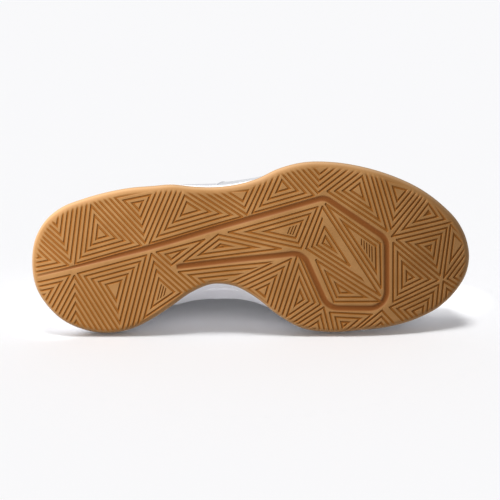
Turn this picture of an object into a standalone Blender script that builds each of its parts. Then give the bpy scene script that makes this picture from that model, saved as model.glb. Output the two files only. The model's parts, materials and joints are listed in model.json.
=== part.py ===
"""Right-foot volleyball shoe, low cut, lying empty on its medial side.

Every piece is shaped standing, in millimetres: X runs from heel to toe, Y towards the
medial side and Z up from the floor. One empty then lays the finished shoe on its side.
"""

import math

import bmesh
import bpy
import numpy as np
from mathutils import Matrix, Vector
from mathutils.geometry import delaunay_2d_cdt

MM = 0.001
GAP = 0.3

# Driving sizes of the sole
SOLE_LENGTH = 290.0
RUBBER = 4.5
RUBBER_LIP = 7.0
EDGE_ROLL = 4.0
TOE_SPRING = 14.0
TOE_SPRING_FROM = 203.0
HEEL_BEVEL = 3.0
HEEL_BEVEL_TO = 26.0
ARCH_LIFT = 2.0
ARCH_FROM = 84.0
ARCH_TO = 166.0
BED_HEEL = 26.0
BED_FOREFOOT = 17.0
BED_DROP_FROM = 70.0
BED_DROP_TO = 200.0

# Sole sections: x, edge of the rubber on each side, how far the rim stands inside that edge
# on each side, and the height of the rim over the ground. The first row is the back of the
# heel and the last the tip of the toe, where both sides meet.
SECTIONS = np.array([
    # x, medial, lateral, medial_in, lateral_in, rim
    (0.0, 3.0, 3.0, 7.0, 7.0, 37.0),
    (3.0, 21.0, -14.0, 7.0, 7.0, 36.5),
    (10.0, 32.1, -25.4, 7.5, 7.5, 36.0),
    (20.0, 41.4, -33.4, 8.0, 8.0, 35.0),
    (34.0, 47.8, -39.0, 8.5, 8.0, 34.0),
    (50.0, 50.1, -43.6, 9.0, 8.0, 33.0),
    (66.0, 47.1, -46.6, 8.0, 7.5, 32.5),
    (80.0, 40.1, -47.8, 2.5, 6.5, 32.5),
    (92.0, 32.1, -48.8, -4.5, 5.0, 33.0),
    (106.0, 22.4, -47.4, -11.0, 3.5, 33.0),
    (120.0, 17.2, -47.0, -14.5, 3.0, 32.5),
    (134.0, 18.7, -48.6, -13.0, 3.0, 31.0),
    (148.0, 26.1, -52.6, -7.5, 4.0, 29.0),
    (162.0, 37.1, -59.4, -1.5, 5.5, 27.0),
    (178.0, 46.1, -63.7, 3.5, 6.0, 25.0),
    (197.0, 48.9, -64.1, 5.0, 6.0, 23.5),
    (217.0, 47.6, -61.1, 5.0, 6.0, 22.5),
    (237.0, 45.4, -55.1, 5.0, 6.0, 22.0),
    (256.0, 40.1, -46.1, 5.0, 6.0, 21.5),
    (271.0, 32.4, -35.0, 5.5, 6.0, 21.0),
    (282.0, 21.7, -23.4, 6.0, 6.0, 21.0),
    (288.0, 11.5, -11.2, 6.0, 6.0, 21.0),
    (SOLE_LENGTH, 1.5, 1.5, 6.0, 6.0, 21.0),
])
LAST_SECTION = len(SECTIONS) - 1

# Midsole wall, from the rubber up to the rim: share of the height, share of the way in to
# the rim, and how deep the wall is carved there. One shallow channel runs round it.
WALL = np.array([
    # up, run, carve
    (0.00, 0.00, 0.0),
    (0.07, 0.00, -0.7),
    (0.30, 0.08, -0.6),
    (0.37, 0.14, 1.1),
    (0.44, 0.20, 1.1),
    (0.52, 0.28, -0.5),
    (0.82, 0.70, -0.8),
    (0.95, 0.92, -0.3),
    (1.00, 1.05, 0.0),
])
RIM_FLAT = 5.0
BED_INSET = 7.0

# Upper: for each place along the section table, where its top edge lies (along, half width
# and middle of the opening, height) and the four handles of its side curve. The opening is
# closed at the back of the heel and from the foot of the throat to the toe.
UPPER = np.array([
    # section, top_x, half_gap, middle, top_z, belly, rise, reach, drop
    (0.0, 14.0, 0.0, 3.0, 97.0, 4.5, 22.0, 2.0, 24.0),
    (1.0, 15.6, 12.5, 3.0, 96.6, 4.5, 22.0, 2.0, 23.5),
    (2.0, 20.0, 21.0, 3.0, 95.6, 4.3, 22.0, 2.2, 22.0),
    (3.0, 27.5, 26.6, 3.0, 92.6, 4.0, 22.0, 2.5, 20.0),
    (4.0, 38.0, 30.0, 2.9, 88.0, 3.6, 20.0, 3.0, 18.0),
    (5.0, 51.0, 32.0, 2.6, 84.2, 3.5, 18.0, 3.0, 18.0),
    (6.0, 65.0, 32.5, 1.5, 84.5, 3.5, 18.0, 3.5, 19.0),
    (7.0, 78.0, 31.5, 0.0, 89.0, 3.5, 20.0, 4.0, 20.0),
    (8.0, 90.0, 29.5, -1.5, 96.5, 3.8, 23.0, 5.5, 22.0),
    (9.0, 103.0, 25.0, -3.0, 106.5, 4.2, 27.0, 9.0, 20.0),
    (10.0, 116.0, 20.0, -4.0, 110.0, 5.0, 31.0, 12.0, 14.0),
    (11.0, 130.0, 17.5, -4.6, 105.5, 5.5, 33.0, 13.5, 10.0),
    (12.0, 144.0, 15.0, -5.0, 99.0, 6.0, 34.0, 15.0, 7.5),
    (13.0, 158.0, 12.8, -5.0, 92.0, 6.0, 34.0, 16.0, 6.0),
    (14.0, 173.0, 10.5, -5.0, 84.5, 6.0, 34.0, 18.0, 4.0),
    (14.6, 184.0, 8.0, -5.0, 79.0, 6.0, 32.0, 20.0, 2.5),
    (15.0, 190.0, 0.0, -5.0, 75.8, 6.0, 31.0, 22.0, 2.0),
    (16.0, 203.0, 0.0, -4.8, 70.5, 5.5, 27.0, 24.0, 2.6),
    (17.0, 215.0, 0.0, -4.2, 66.0, 5.0, 23.0, 24.0, 3.6),
    (18.0, 227.0, 0.0, -3.4, 62.2, 4.5, 20.0, 22.0, 4.0),
    (19.0, 236.0, 0.0, -2.6, 59.4, 4.0, 18.0, 19.0, 4.4),
    (20.0, 242.0, 0.0, -2.0, 57.6, 3.5, 16.5, 17.0, 4.8),
    (21.0, 245.0, 0.0, -1.7, 56.7, 3.2, 16.0, 16.0, 5.0),
    (22.0, 246.0, 0.0, -1.6, 56.4, 3.0, 16.0, 16.0, 5.0),
])
HALF_GAP = 2
THROAT_FOOT_SECTION = 15.0
THROAT_FOOT = SECTIONS[15, 0]
THROAT_HEAD = 113.0
FEATHER_IN = 1.2
UPPER_WALL = 2.0
COLLAR_PAD = 7.0
COLLAR_PAD_FROM = 0.62
COLLAR_FRONT = 92.0
COLLAR_PAD_END = 116.0
COLLAR_ROLL = 0.35

# Insole
INSOLE_THICK = 4.0
INSOLE_CLEAR = 1.0

# Tongue
TONGUE_THICK = 4.5
TONGUE_UNDER = 0.9
TONGUE_CROWN = 2.0
TONGUE_CROWN_GAP = 12.0
TONGUE_TUCK = 0.20
TONGUE_TUCK_HEAD = 0.04
TONGUE_TUCK_OVER = 30.0
TONGUE_FOOT = 208.0
TONGUE_RISE = 26.0
TONGUE_LEAN = math.radians(52.0)
TONGUE_TOP_NARROW = 0.66

# Lace
LACE_WIDTH = 6.5
LACE_THICK = 1.5
LACE_LIFT = 0.5
LACE_OVER = 0.37
LACE_CROWN = 0.6
LACE_STEPS = 8
EYELET_ROWS = 6
EYELET_FIRST = 186.0
EYELET_LAST = 121.0
EYELET_SHARE = 0.93

# Long flex groove of the outsole: heel, ball, round the forefoot pad and back to the waist
GROOVE_CORNERS = [
    # x, y, corner radius
    (9.0, 11.2, 0.0),
    (110.0, -15.4, 200.0),
    (194.3, -40.3, 7.0),
    (235.5, -12.8, 11.0),
    (235.5, 33.2, 11.0),
    (197.0, 33.2, 11.0),
    (181.8, -3.6, 11.0),
    (96.5, 5.8, 0.0),
]
GROOVE_TOP = 2.3
GROOVE_FLOOR = 1.0
GROOVE_DEPTH = 2.2

# How finely the solids are divided
SOLE_COLUMNS = 34
UPPER_COLUMNS = 44
UPPER_RINGS = 11
ACROSS = 6
TREAD_GRID = 9.0


def slopes_of(xs, ys, level_ends):
    """Slopes of a smooth curve through the points that never overshoots them."""
    steps = np.diff(xs)
    rates = np.diff(ys) / steps
    slopes = np.zeros(len(xs))
    if not level_ends:
        slopes[0], slopes[-1] = rates[0], rates[-1]
    for i in range(1, len(xs) - 1):
        before, after = rates[i - 1], rates[i]
        if before * after > 0:
            near, far = 2 * steps[i] + steps[i - 1], steps[i] + 2 * steps[i - 1]
            slopes[i] = (near + far) / (near / before + far / after)
    return slopes


def smooth(xs, ys, x, level_ends=True):
    """Value at x of the smooth curve through a table's columns xs and ys. Its ends are
    level where the shoe's two sides meet, at the heel and the toe."""
    x = min(max(x, xs[0]), xs[-1])
    slopes = slopes_of(xs, ys, level_ends)
    i = min(int(np.searchsorted(xs, x, side="right")) - 1, len(xs) - 2)
    step = xs[i + 1] - xs[i]
    f = (x - xs[i]) / step
    return (
        ys[i] * (1 + 2 * f) * (1 - f) ** 2
        + ys[i + 1] * f * f * (3 - 2 * f)
        + step * (slopes[i] * f * (1 - f) ** 2 + slopes[i + 1] * f * f * (f - 1))
    )


def eased(share):
    share = min(max(share, 0.0), 1.0)
    return share * share * (3 - 2 * share)


def edge_loop_points():
    """The sole's edge as a closed loop: heel, medial side, toe, lateral side."""
    medial = [(row[0], row[1]) for row in SECTIONS]
    lateral = [(row[0], row[2]) for row in SECTIONS[-2:0:-1]]
    return np.array(medial + lateral)


EDGE = edge_loop_points()


def edge_point(station):
    """Point and outward normal of the sole's edge. Stations count the sections from the
    heel along the medial side to the toe, and on along the lateral side to the heel."""
    count = len(EDGE)
    i = int(math.floor(station))
    f = station - i
    p = [EDGE[(i + step) % count] for step in (-1, 0, 1, 2)]
    chords = [np.linalg.norm(p[n + 1] - p[n]) for n in range(3)]
    rates = [(p[n + 1] - p[n]) / chords[n] for n in range(3)]
    start = (rates[0] * chords[1] + rates[1] * chords[0]) / (chords[0] + chords[1]) * chords[1]
    end = (rates[1] * chords[2] + rates[2] * chords[1]) / (chords[1] + chords[2]) * chords[1]
    point = (
        p[1] * (1 + 2 * f) * (1 - f) ** 2
        + p[2] * f * f * (3 - 2 * f)
        + start * f * (1 - f) ** 2
        + end * f * f * (f - 1)
    )
    along = (
        (p[2] - p[1]) * 6 * f * (1 - f)
        + start * (1 - f) * (1 - 3 * f)
        + end * f * (3 * f - 2)
    )
    along /= np.linalg.norm(along)
    return point, np.array((-along[1], along[0]))


def section_of(station):
    """Place along the section table, 0 at the heel and LAST_SECTION at the toe."""
    return station if station <= LAST_SECTION else 2 * LAST_SECTION - station


def section_value(station, column):
    return smooth(np.arange(LAST_SECTION + 1.0), SECTIONS[:, column], section_of(station))


def rim_inset(station):
    """How far the midsole's rim stands inside the rubber's edge."""
    return section_value(station, 3 if station <= LAST_SECTION else 4)


def stations(count):
    """Evenly spread stations, count on each side, that keep the heel and the toe."""
    return [LAST_SECTION * i / count for i in range(2 * count)]


def ground(x):
    """Height of the tread over the floor: heel bevel, arch and toe spring."""
    toe = max(0.0, (x - TOE_SPRING_FROM) / (SOLE_LENGTH - TOE_SPRING_FROM))
    heel = max(0.0, (HEEL_BEVEL_TO - x) / HEEL_BEVEL_TO)
    arch = min(1.0, abs(2 * x - ARCH_FROM - ARCH_TO) / (ARCH_TO - ARCH_FROM))
    return TOE_SPRING * toe**2 + HEEL_BEVEL * heel**2 + ARCH_LIFT * (1 - arch**2) ** 2


def bed(x):
    """Height of the foot bed."""
    forward = eased((x - BED_DROP_FROM) / (BED_DROP_TO - BED_DROP_FROM))
    return ground(x) + BED_HEEL + (BED_FOREFOOT - BED_HEEL) * forward


def rubber_top(x, inset):
    """Top of the outsole: a slab whose rim turns up round the midsole."""
    return ground(x) + RUBBER + (RUBBER_LIP - RUBBER) * eased(1 - inset / EDGE_ROLL / 2)


def at_inset(station, inset):
    point, out = edge_point(station)
    return point - out * inset


class Body:
    """Points and faces of one solid, put together ring by ring."""

    def __init__(self):
        self.points = []
        self.faces = []

    def add(self, points):
        first = len(self.points)
        self.points.extend(tuple(float(c) for c in p) for p in points)
        return list(range(first, len(self.points)))

    def bridge(self, lower, upper, closed=True):
        """Faces between two rows of points that run the same way."""
        count = len(lower)
        for i in range(count if closed else count - 1):
            n = (i + 1) % count
            self.face(lower[i], lower[n], upper[n], upper[i])

    def face(self, *corners):
        unique = list(dict.fromkeys(corners))
        if len(unique) > 2:
            self.faces.append(unique)

    def fill_across(self, ring, height, facing_up):
        """Fills a ring of 2n points from its medial to its lateral side, row by row."""
        half = len(ring) // 2
        rows = [[ring[0]]]
        for i in range(1, half):
            ends = np.array(self.points[ring[i]]), np.array(self.points[ring[-i]])
            inner = []
            for n in range(1, ACROSS):
                p = ends[0] + (ends[1] - ends[0]) * n / ACROSS
                inner.append((p[0], p[1], height(p)))
            rows.append([ring[i], *self.add(inner), ring[-i]])
        rows.append([ring[half]])
        for before, after in zip(rows, rows[1:]):
            before = before * (ACROSS + 1) if len(before) == 1 else before
            after = after * (ACROSS + 1) if len(after) == 1 else after
            for n in range(ACROSS):
                corners = (before[n], after[n], after[n + 1], before[n + 1])
                self.face(*(corners[::-1] if facing_up else corners))

    def make(self, name, colour, roughness, parent):
        mesh = bpy.data.meshes.new(name)
        mesh.from_pydata([Vector(p) * MM for p in self.points], [], self.faces)
        obj = bpy.data.objects.new(name, mesh)
        bpy.context.scene.collection.objects.link(obj)
        obj.parent = parent
        finish(obj, colour, roughness)
        return obj


def finish(obj, colour, roughness):
    """Closes up the faces' directions, shades the solid smooth and gives it its colour."""
    work = bmesh.new()
    work.from_mesh(obj.data)
    bmesh.ops.recalc_face_normals(work, faces=work.faces)
    if work.calc_volume(signed=True) < 0:
        bmesh.ops.reverse_faces(work, faces=work.faces)
    work.to_mesh(obj.data)
    work.free()
    obj.data.shade_smooth()
    obj.data.set_sharp_from_angle(angle=math.radians(40))
    material = bpy.data.materials.new(obj.name)
    material.use_nodes = True
    shader = material.node_tree.nodes["Principled BSDF"]
    shader.inputs["Base Color"].default_value = (*colour, 1)
    shader.inputs["Roughness"].default_value = roughness
    shader.inputs["Metallic"].default_value = 0.0
    obj.data.materials.append(material)


def groove_line():
    """The flex groove's middle line, its corners rounded to their radii."""
    points = [np.array(GROOVE_CORNERS[0][:2])]
    for before, here, after in zip(GROOVE_CORNERS, GROOVE_CORNERS[1:], GROOVE_CORNERS[2:]):
        corner = np.array(here[:2])
        back = np.array(before[:2]) - corner
        on = np.array(after[:2]) - corner
        back /= np.linalg.norm(back)
        on /= np.linalg.norm(on)
        half = math.acos(max(-1.0, min(1.0, float(back @ on)))) / 2
        run = here[2] / math.tan(half)
        middle = corner + (back + on) / np.linalg.norm(back + on) * here[2] / math.sin(half)
        start, end = corner + back * run - middle, corner + on * run - middle
        turn = math.pi - 2 * half
        steps = max(2, math.ceil(turn / math.radians(18)))
        for n in range(steps + 1):
            f = n / steps
            arm = (start * math.sin((1 - f) * turn) + end * math.sin(f * turn)) / math.sin(turn)
            points.append(middle + arm)
    points.append(np.array(GROOVE_CORNERS[-1][:2]))
    return np.array(points)


GROOVE_LINE = groove_line()


def groove_outline(away):
    """Closed outline at one distance from the groove's middle line."""
    sides = []
    for i, point in enumerate(GROOVE_LINE):
        back = GROOVE_LINE[max(i - 1, 0)]
        on = GROOVE_LINE[min(i + 1, len(GROOVE_LINE) - 1)]
        along = (on - back) / np.linalg.norm(on - back)
        end = along * away * ((i == len(GROOVE_LINE) - 1) - (i == 0))
        across = np.array((-along[1], along[0])) * away
        sides.append((point + end + across, point + end - across))
    return [left for left, _ in sides] + [right for _, right in reversed(sides)]


def groove_depth(point):
    """How deep the flex groove is at a point of the tread."""
    starts, ends = GROOVE_LINE[:-1], GROOVE_LINE[1:]
    runs = ends - starts
    share = ((point - starts) * runs).sum(1) / (runs * runs).sum(1)
    nearest = starts + runs * np.clip(share, 0, 1)[:, None]
    away = np.linalg.norm(point - nearest, axis=1).min()
    return GROOVE_DEPTH * min(1.0, max(0.0, (GROOVE_TOP - away) / (GROOVE_TOP - GROOVE_FLOOR)))


def tread_faces(body, ring):
    """Fills the flat of the tread inside a ring of points, with the flex groove in it."""
    flat = [body.points[n][:2] for n in ring]
    points = [Vector(p) for p in flat]
    edges = []
    for away in (GROOVE_TOP, GROOVE_FLOOR):
        outline = groove_outline(away)
        first = len(points)
        points.extend(Vector(p) for p in outline)
        count = len(outline)
        edges.extend((first + n, first + (n + 1) % count) for n in range(count))
    for x in np.arange(TREAD_GRID, SOLE_LENGTH, TREAD_GRID):
        for y in np.arange(-60.0, 50.0, TREAD_GRID):
            spot = np.array((x, y))
            if groove_depth(spot) == 0 and inside_tread(spot):
                points.append(Vector(spot))
    found, _, faces, origins, _, _ = delaunay_2d_cdt(
        points, edges, [list(range(len(ring)))], 1, 1e-4
    )
    numbers = []
    for point, origin in zip(found, origins):
        on_ring = [n for n in origin if n < len(ring)]
        if on_ring:
            numbers.append(ring[on_ring[0]])
        else:
            depth = groove_depth(np.array(point))
            numbers.append(body.add([(point[0], point[1], ground(point[0]) + depth)])[0])
    for face in faces:
        body.face(*(numbers[n] for n in reversed(face)))


def inside_tread(spot):
    """Whether a grid point lies well inside the flat of the tread."""
    margin = EDGE_ROLL + TREAD_GRID / 3
    row = float(np.interp(spot[0], SECTIONS[:, 0], np.arange(LAST_SECTION + 1.0)))
    medial, _ = edge_point(row)
    lateral, _ = edge_point(2 * LAST_SECTION - row) if row else edge_point(0)
    near_ends = margin < spot[0] < SOLE_LENGTH - margin
    return near_ends and lateral[1] + margin < spot[1] < medial[1] - margin


def make_outsole(parent):
    """Gum rubber outsole: flat tread, rolled edge and a lip up round the midsole."""
    body = Body()
    around = stations(SOLE_COLUMNS)
    rings = []
    for angle in (0, 35, 65, 90):
        inset = EDGE_ROLL * (1 - math.sin(math.radians(angle)))
        rise = EDGE_ROLL * (1 - math.cos(math.radians(angle)))
        spots = [at_inset(s, inset) for s in around]
        rings.append(body.add([(x, y, ground(x) + rise) for x, y in spots]))
    chamfer = 0.8
    spots = [at_inset(s, 0.0) for s in around]
    rings.append(body.add([(x, y, rubber_top(x, 0.0) - chamfer) for x, y in spots]))
    for inset in (chamfer, EDGE_ROLL, 2 * EDGE_ROLL):
        spots = [at_inset(s, inset) for s in around]
        rings.append(body.add([(x, y, rubber_top(x, inset)) for x, y in spots]))
    for lower, upper in zip(rings, rings[1:]):
        body.bridge(lower, upper)
    tread_faces(body, rings[0])
    body.fill_across(rings[-1], lambda p: rubber_top(p[0], 2 * EDGE_ROLL), True)
    return body.make("outsole", (0.42, 0.22, 0.085), 0.55, parent)


def rim_point(station, further_in, lift=0.0):
    """A point of the midsole's rim, so far inside its outer edge."""
    x, y = at_inset(station, rim_inset(station) + further_in)
    edge_x, _ = at_inset(station, rim_inset(station))
    return x, y, ground(edge_x) + section_value(station, 5) + lift


def make_midsole(parent):
    """White foam midsole: carved wall, flat rim for the upper and a sunken foot bed."""
    body = Body()
    around = stations(SOLE_COLUMNS)
    seat = 1.2
    rings = []
    for inset in (2 * EDGE_ROLL, EDGE_ROLL):
        spots = [at_inset(s, inset) for s in around]
        rings.append(body.add([(x, y, rubber_top(x, inset) + GAP) for x, y in spots]))
    for up, run, carve in WALL:
        ring = []
        for s in around:
            x, y = at_inset(s, seat + (rim_inset(s) - seat) * run + carve)
            foot = rubber_top(x, seat) + GAP
            rim = rim_point(s, 0.0)[2]
            ring.append((x, y, foot + (rim - foot) * up))
        rings.append(body.add(ring))
    rings.append(body.add([rim_point(s, RIM_FLAT) for s in around]))
    low = [at_inset(s, rim_inset(s) + BED_INSET) for s in around]
    rings.append(body.add([(x, y, bed(x)) for x, y in low]))
    for lower, upper in zip(rings, rings[1:]):
        body.bridge(lower, upper)
    body.fill_across(rings[0], lambda p: rubber_top(p[0], 2 * EDGE_ROLL) + GAP, False)
    body.fill_across(rings[-1], lambda p: bed(p[0]), True)
    return body.make("midsole", (0.86, 0.86, 0.88), 0.5, parent)


def make_insole(parent):
    """Foam insole lying in the foot bed."""
    body = Body()
    around = stations(SOLE_COLUMNS)
    spots = [at_inset(s, rim_inset(s) + BED_INSET + INSOLE_CLEAR) for s in around]
    rings = [
        body.add([(x, y, bed(x) + GAP) for x, y in spots]),
        body.add([(x, y, bed(x) + GAP + INSOLE_THICK) for x, y in spots]),
    ]
    body.bridge(*rings)
    body.fill_across(rings[0], lambda p: bed(p[0]) + GAP, False)
    body.fill_across(rings[1], lambda p: bed(p[0]) + GAP + INSOLE_THICK, True)
    return body.make("insole", (0.8, 0.8, 0.82), 0.8, parent)


def upper_row(station):
    """The upper's sizes at a station, in the order of its table."""
    section = section_of(station)
    columns = range(1, UPPER.shape[1])
    return [smooth(UPPER[:, 0], UPPER[:, n], section, n != HALF_GAP) for n in columns]


def upper_point(station, share):
    """Outer face of the upper, from the rim (share 0) to its top edge (share 1)."""
    top_x, half_gap, middle, top_z, belly, rise, reach, drop = upper_row(station)
    side = 1 if station <= LAST_SECTION else -1
    foot = np.array(rim_point(station, FEATHER_IN, GAP))
    top = np.array((top_x, middle + side * half_gap, top_z))
    out = (foot - top) * (1, 1, 0)
    out /= np.linalg.norm(out)
    handles = (
        foot,
        foot + out * belly + np.array((0, 0, rise)),
        top + out * reach - np.array((0, 0, drop)),
        top,
    )
    weights = (
        (1 - share) ** 3,
        3 * share * (1 - share) ** 2,
        3 * share**2 * (1 - share),
        share**3,
    )
    return sum(w * h for w, h in zip(weights, handles))


def upper_normal(station, share):
    """Outward direction of the upper, level along the rim so that its edge stands flat."""
    step, rise = 0.05, 0.01
    low, high = max(0.0, share - rise), min(1.0, share + rise)
    along = upper_point((station + step) % (2 * LAST_SECTION), share)
    along = along - upper_point((station - step) % (2 * LAST_SECTION), share)
    up = upper_point(station, high) - upper_point(station, low)
    normal = np.cross(up, along)
    normal[2] *= eased(share / 0.2)
    return normal / np.linalg.norm(normal)


def wall_thickness(x, share):
    """The upper's wall, thicker in the padded collar."""
    padded = eased((share - COLLAR_PAD_FROM) / (1 - COLLAR_PAD_FROM))
    padded *= 1 - eased((x - COLLAR_FRONT) / (COLLAR_PAD_END - COLLAR_FRONT))
    return UPPER_WALL + (COLLAR_PAD - UPPER_WALL) * padded


def upper_columns():
    """Stations of the upper's columns, with one exactly at the foot of the throat."""
    foot = THROAT_FOOT_SECTION
    behind = round(UPPER_COLUMNS * foot / LAST_SECTION)
    medial = list(np.linspace(0, foot, behind + 1))
    medial += list(np.linspace(foot, LAST_SECTION, UPPER_COLUMNS - behind + 1))[1:]
    lateral = [2 * LAST_SECTION - s for s in medial[-2:0:-1]]
    return medial + lateral, behind


def upper_inner(station, share):
    """Inner face of the upper."""
    x = upper_point(station, share)[0]
    return upper_point(station, share) - upper_normal(station, share) * wall_thickness(x, share)


def make_upper(parent):
    """One hollow wall, open at the collar, down the throat and underneath."""
    body = Body()
    around, behind = upper_columns()
    count = len(around)
    closed = range(behind, count - behind + 1)
    shells = []
    for face in (upper_point, upper_inner):
        rings = []
        for n in range(UPPER_RINGS):
            rings.append(body.add([face(s, n / UPPER_RINGS) for s in around]))
        top = [None] * count
        for i in range(count):
            if i in closed and i > count // 2:
                top[i] = top[count - i]
            elif i in closed and face is upper_inner:
                point = upper_point(around[i], 1.0) - np.array((0, 0, UPPER_WALL))
                top[i] = body.add([point])[0]
            else:
                top[i] = body.add([face(around[i], 1.0)])[0]
        rings.append(top)
        shells.append(rings)
    outer, inner = shells
    for lower, upper in zip(outer, outer[1:]):
        body.bridge(lower, upper)
    for lower, upper in zip(inner, inner[1:]):
        body.bridge(upper, lower)
    body.bridge(inner[0], outer[0])
    crest = list(outer[-1])
    for i in set(range(count)) - set(closed):
        out, back = (np.array(body.points[shell[-1][i]]) for shell in (outer, inner))
        up = upper_point(around[i], 1.0) - upper_point(around[i], 0.96)
        roll = up / np.linalg.norm(up) * np.linalg.norm(out - back) * COLLAR_ROLL
        crest[i] = body.add([(out + back) / 2 + roll])[0]
    for i in range(count):
        n = (i + 1) % count
        if i not in closed or n not in closed:
            body.face(outer[-1][i], outer[-1][n], crest[n], crest[i])
            body.face(crest[i], crest[n], inner[-1][n], inner[-1][i])
    return body.make("upper", (0.85, 0.85, 0.86), 0.7, parent)


def station_at(x, side):
    """Station of the section x on the medial (1) or lateral (-1) side."""
    row = float(np.interp(x, SECTIONS[:, 0], np.arange(LAST_SECTION + 1.0)))
    return row if side > 0 else 2 * LAST_SECTION - row


def under_upper(x, side, share):
    station = station_at(x, side)
    away = wall_thickness(upper_point(station, share)[0], share) + TONGUE_UNDER
    return upper_point(station, share) - upper_normal(station, share) * away


def tongue_row(x):
    """One row across the tongue, tucked under the eyestay on both sides."""
    edge = 1.0 if x < THROAT_FOOT else 0.88
    tuck = edge - TONGUE_TUCK_HEAD
    tuck -= (TONGUE_TUCK - TONGUE_TUCK_HEAD) * eased((x - THROAT_HEAD) / TONGUE_TUCK_OVER)
    crown = TONGUE_CROWN * eased(upper_row(station_at(x, 1))[HALF_GAP - 1] / TONGUE_CROWN_GAP)
    sides = []
    for side in (1, -1):
        sides.append([under_upper(x, side, share) for share in (tuck, (tuck + edge) / 2, edge)])
    medial, lateral = sides
    middle = []
    for f in (0.25, 0.5, 0.75):
        point = medial[-1] * (1 - f) + lateral[-1] * f
        middle.append(point + np.array((0, 0, crown * 4 * f * (1 - f))))
    return medial + middle + lateral[::-1]


def make_tongue(parent):
    """Padded tongue under the throat, standing up past the top of the eyestay."""
    rows = [np.array(tongue_row(x)) for x in np.linspace(TONGUE_FOOT, THROAT_HEAD, 12)]
    head = rows[-1]
    lean = np.array((-math.cos(TONGUE_LEAN), 0, math.sin(TONGUE_LEAN)))
    for share in (0.34, 0.67, 0.9, 1.0):
        narrow = 1 - (1 - TONGUE_TOP_NARROW) * share
        row = head * (1, narrow, 1) + np.array((0, head[:, 1].mean() * (1 - narrow), 0))
        rows.append(row + lean * TONGUE_RISE * share)
    body = Body()
    grid = np.array(rows)
    along = np.gradient(grid, axis=0)
    across = np.gradient(grid, axis=1)
    down = np.cross(along, across)
    down /= np.linalg.norm(down, axis=2)[:, :, None]
    down *= -np.sign(down[:, :, 2:3])
    taper = np.ones(grid.shape[1])
    taper[[0, -1]] = 0.45
    under = grid + down * TONGUE_THICK * taper[None, :, None]
    tops = [body.add(row) for row in grid]
    bottoms = [body.add(row) for row in under]
    for n in range(len(rows) - 1):
        body.bridge(tops[n], tops[n + 1], False)
        body.bridge(bottoms[n + 1], bottoms[n], False)
        body.face(tops[n][0], bottoms[n][0], bottoms[n + 1][0], tops[n + 1][0])
        body.face(tops[n][-1], tops[n + 1][-1], bottoms[n + 1][-1], bottoms[n][-1])
    body.bridge(bottoms[0], tops[0], False)
    body.bridge(tops[-1], bottoms[-1], False)
    return body.make("tongue", (0.84, 0.84, 0.85), 0.75, parent)


def eyelet_x(row):
    return EYELET_FIRST + (EYELET_LAST - EYELET_FIRST) * row / (EYELET_ROWS - 1)


def lace_run(row_from, row_to, side, layer):
    """Middle line and facing of one lace run, arching from an eyelet to the other side."""
    ends = []
    for row, at_side in ((row_from, side), (row_to, -side)):
        station = station_at(eyelet_x(row), at_side)
        normal = upper_normal(station, EYELET_SHARE)
        lift = LACE_LIFT + LACE_OVER * layer
        ends.append((upper_point(station, EYELET_SHARE) + normal * lift, normal))
    (start, start_normal), (end, end_normal) = ends
    slope = (start_normal - end_normal) @ (start - end) / (start_normal + end_normal)[2]
    crown = slope / 4 + LACE_CROWN
    run = []
    for f in np.linspace(0, 1, LACE_STEPS + 1):
        point = start * (1 - f) + end * f + np.array((0, 0, crown * 4 * f * (1 - f)))
        facing = start_normal * (1 - f) + end_normal * f
        run.append((point, facing / np.linalg.norm(facing)))
    return run


def ribbon(run):
    """A flat band along a run of points, as a solid of its own."""
    body = Body()
    rows = []
    along = run[-1][0] - run[0][0]
    for point, facing in run:
        across = np.cross(facing, along)
        across *= LACE_WIDTH / 2 / np.linalg.norm(across)
        thick = facing * LACE_THICK
        rows.append(body.add([
            point + across, point - across, point - across + thick, point + across + thick,
        ]))
    for before, after in zip(rows, rows[1:]):
        body.bridge(before, after)
    body.face(*rows[0])
    body.face(*rows[-1])
    return body


def make_lace(parent):
    """The lace's crossings over the tongue, joined into one solid."""
    runs = [lace_run(0, 0, 1, 0)]
    for row in range(EYELET_ROWS - 1):
        runs += [lace_run(row, row + 1, 1, 1), lace_run(row, row + 1, -1, 2)]
    bands = []
    for n, run in enumerate(runs):
        bands.append(ribbon(run).make(f"lace_band_{n}", (0.86, 0.86, 0.87), 0.8, parent))
    lace = bands[0]
    lace.name = "lace"
    for band in bands[1:]:
        join = lace.modifiers.new(band.name, "BOOLEAN")
        join.operation = "UNION"
        join.object = band
        band.hide_render = True
        band.display_type = "WIRE"
    return lace


def weight_point(pieces):
    """Middle of the pieces' volume."""
    total, moment = 0.0, Vector()
    for piece in pieces:
        piece.data.calc_loop_triangles()
        for triangle in piece.data.loop_triangles:
            a, b, c = (piece.data.vertices[n].co for n in triangle.vertices)
            volume = a.dot(b.cross(c)) / 6
            total += volume
            moment += volume * (a + b + c) / 4
    return moment / total


def lay_down(shoe, pieces):
    """Turns the standing shoe onto the side of its hull that carries its weight: the
    medial edge of the sole and the medial side of the upper then lie on the floor."""
    hull = bmesh.new()
    for piece in pieces:
        for vertex in piece.data.vertices:
            hull.verts.new(vertex.co)
    bmesh.ops.convex_hull(hull, input=hull.verts)
    hull.normal_update()
    weight = weight_point(pieces)
    medial = [face for face in hull.faces if face.normal.y > 0.5]
    under = [f for f in medial if bmesh.geometry.intersect_face_point(f, below(f, weight))]
    down = under[0].normal.copy()
    hull.free()
    toe = Vector((1, 0, 0))
    forward = (toe - down * toe.dot(down)).normalized()
    turn = Matrix((forward, forward.cross(down), -down)).to_4x4()
    corners = [turn @ v.co for piece in pieces for v in piece.data.vertices]
    low = Vector(min(p[n] for p in corners) for n in range(3))
    high = Vector(max(p[n] for p in corners) for n in range(3))
    middle = (low + high) / 2
    shoe.matrix_world = Matrix.Translation((-middle.x, -middle.y, -low.z)) @ turn


def below(face, point):
    """The point's foot on the face's plane."""
    return point + face.normal * (face.verts[0].co - point).dot(face.normal)


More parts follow.
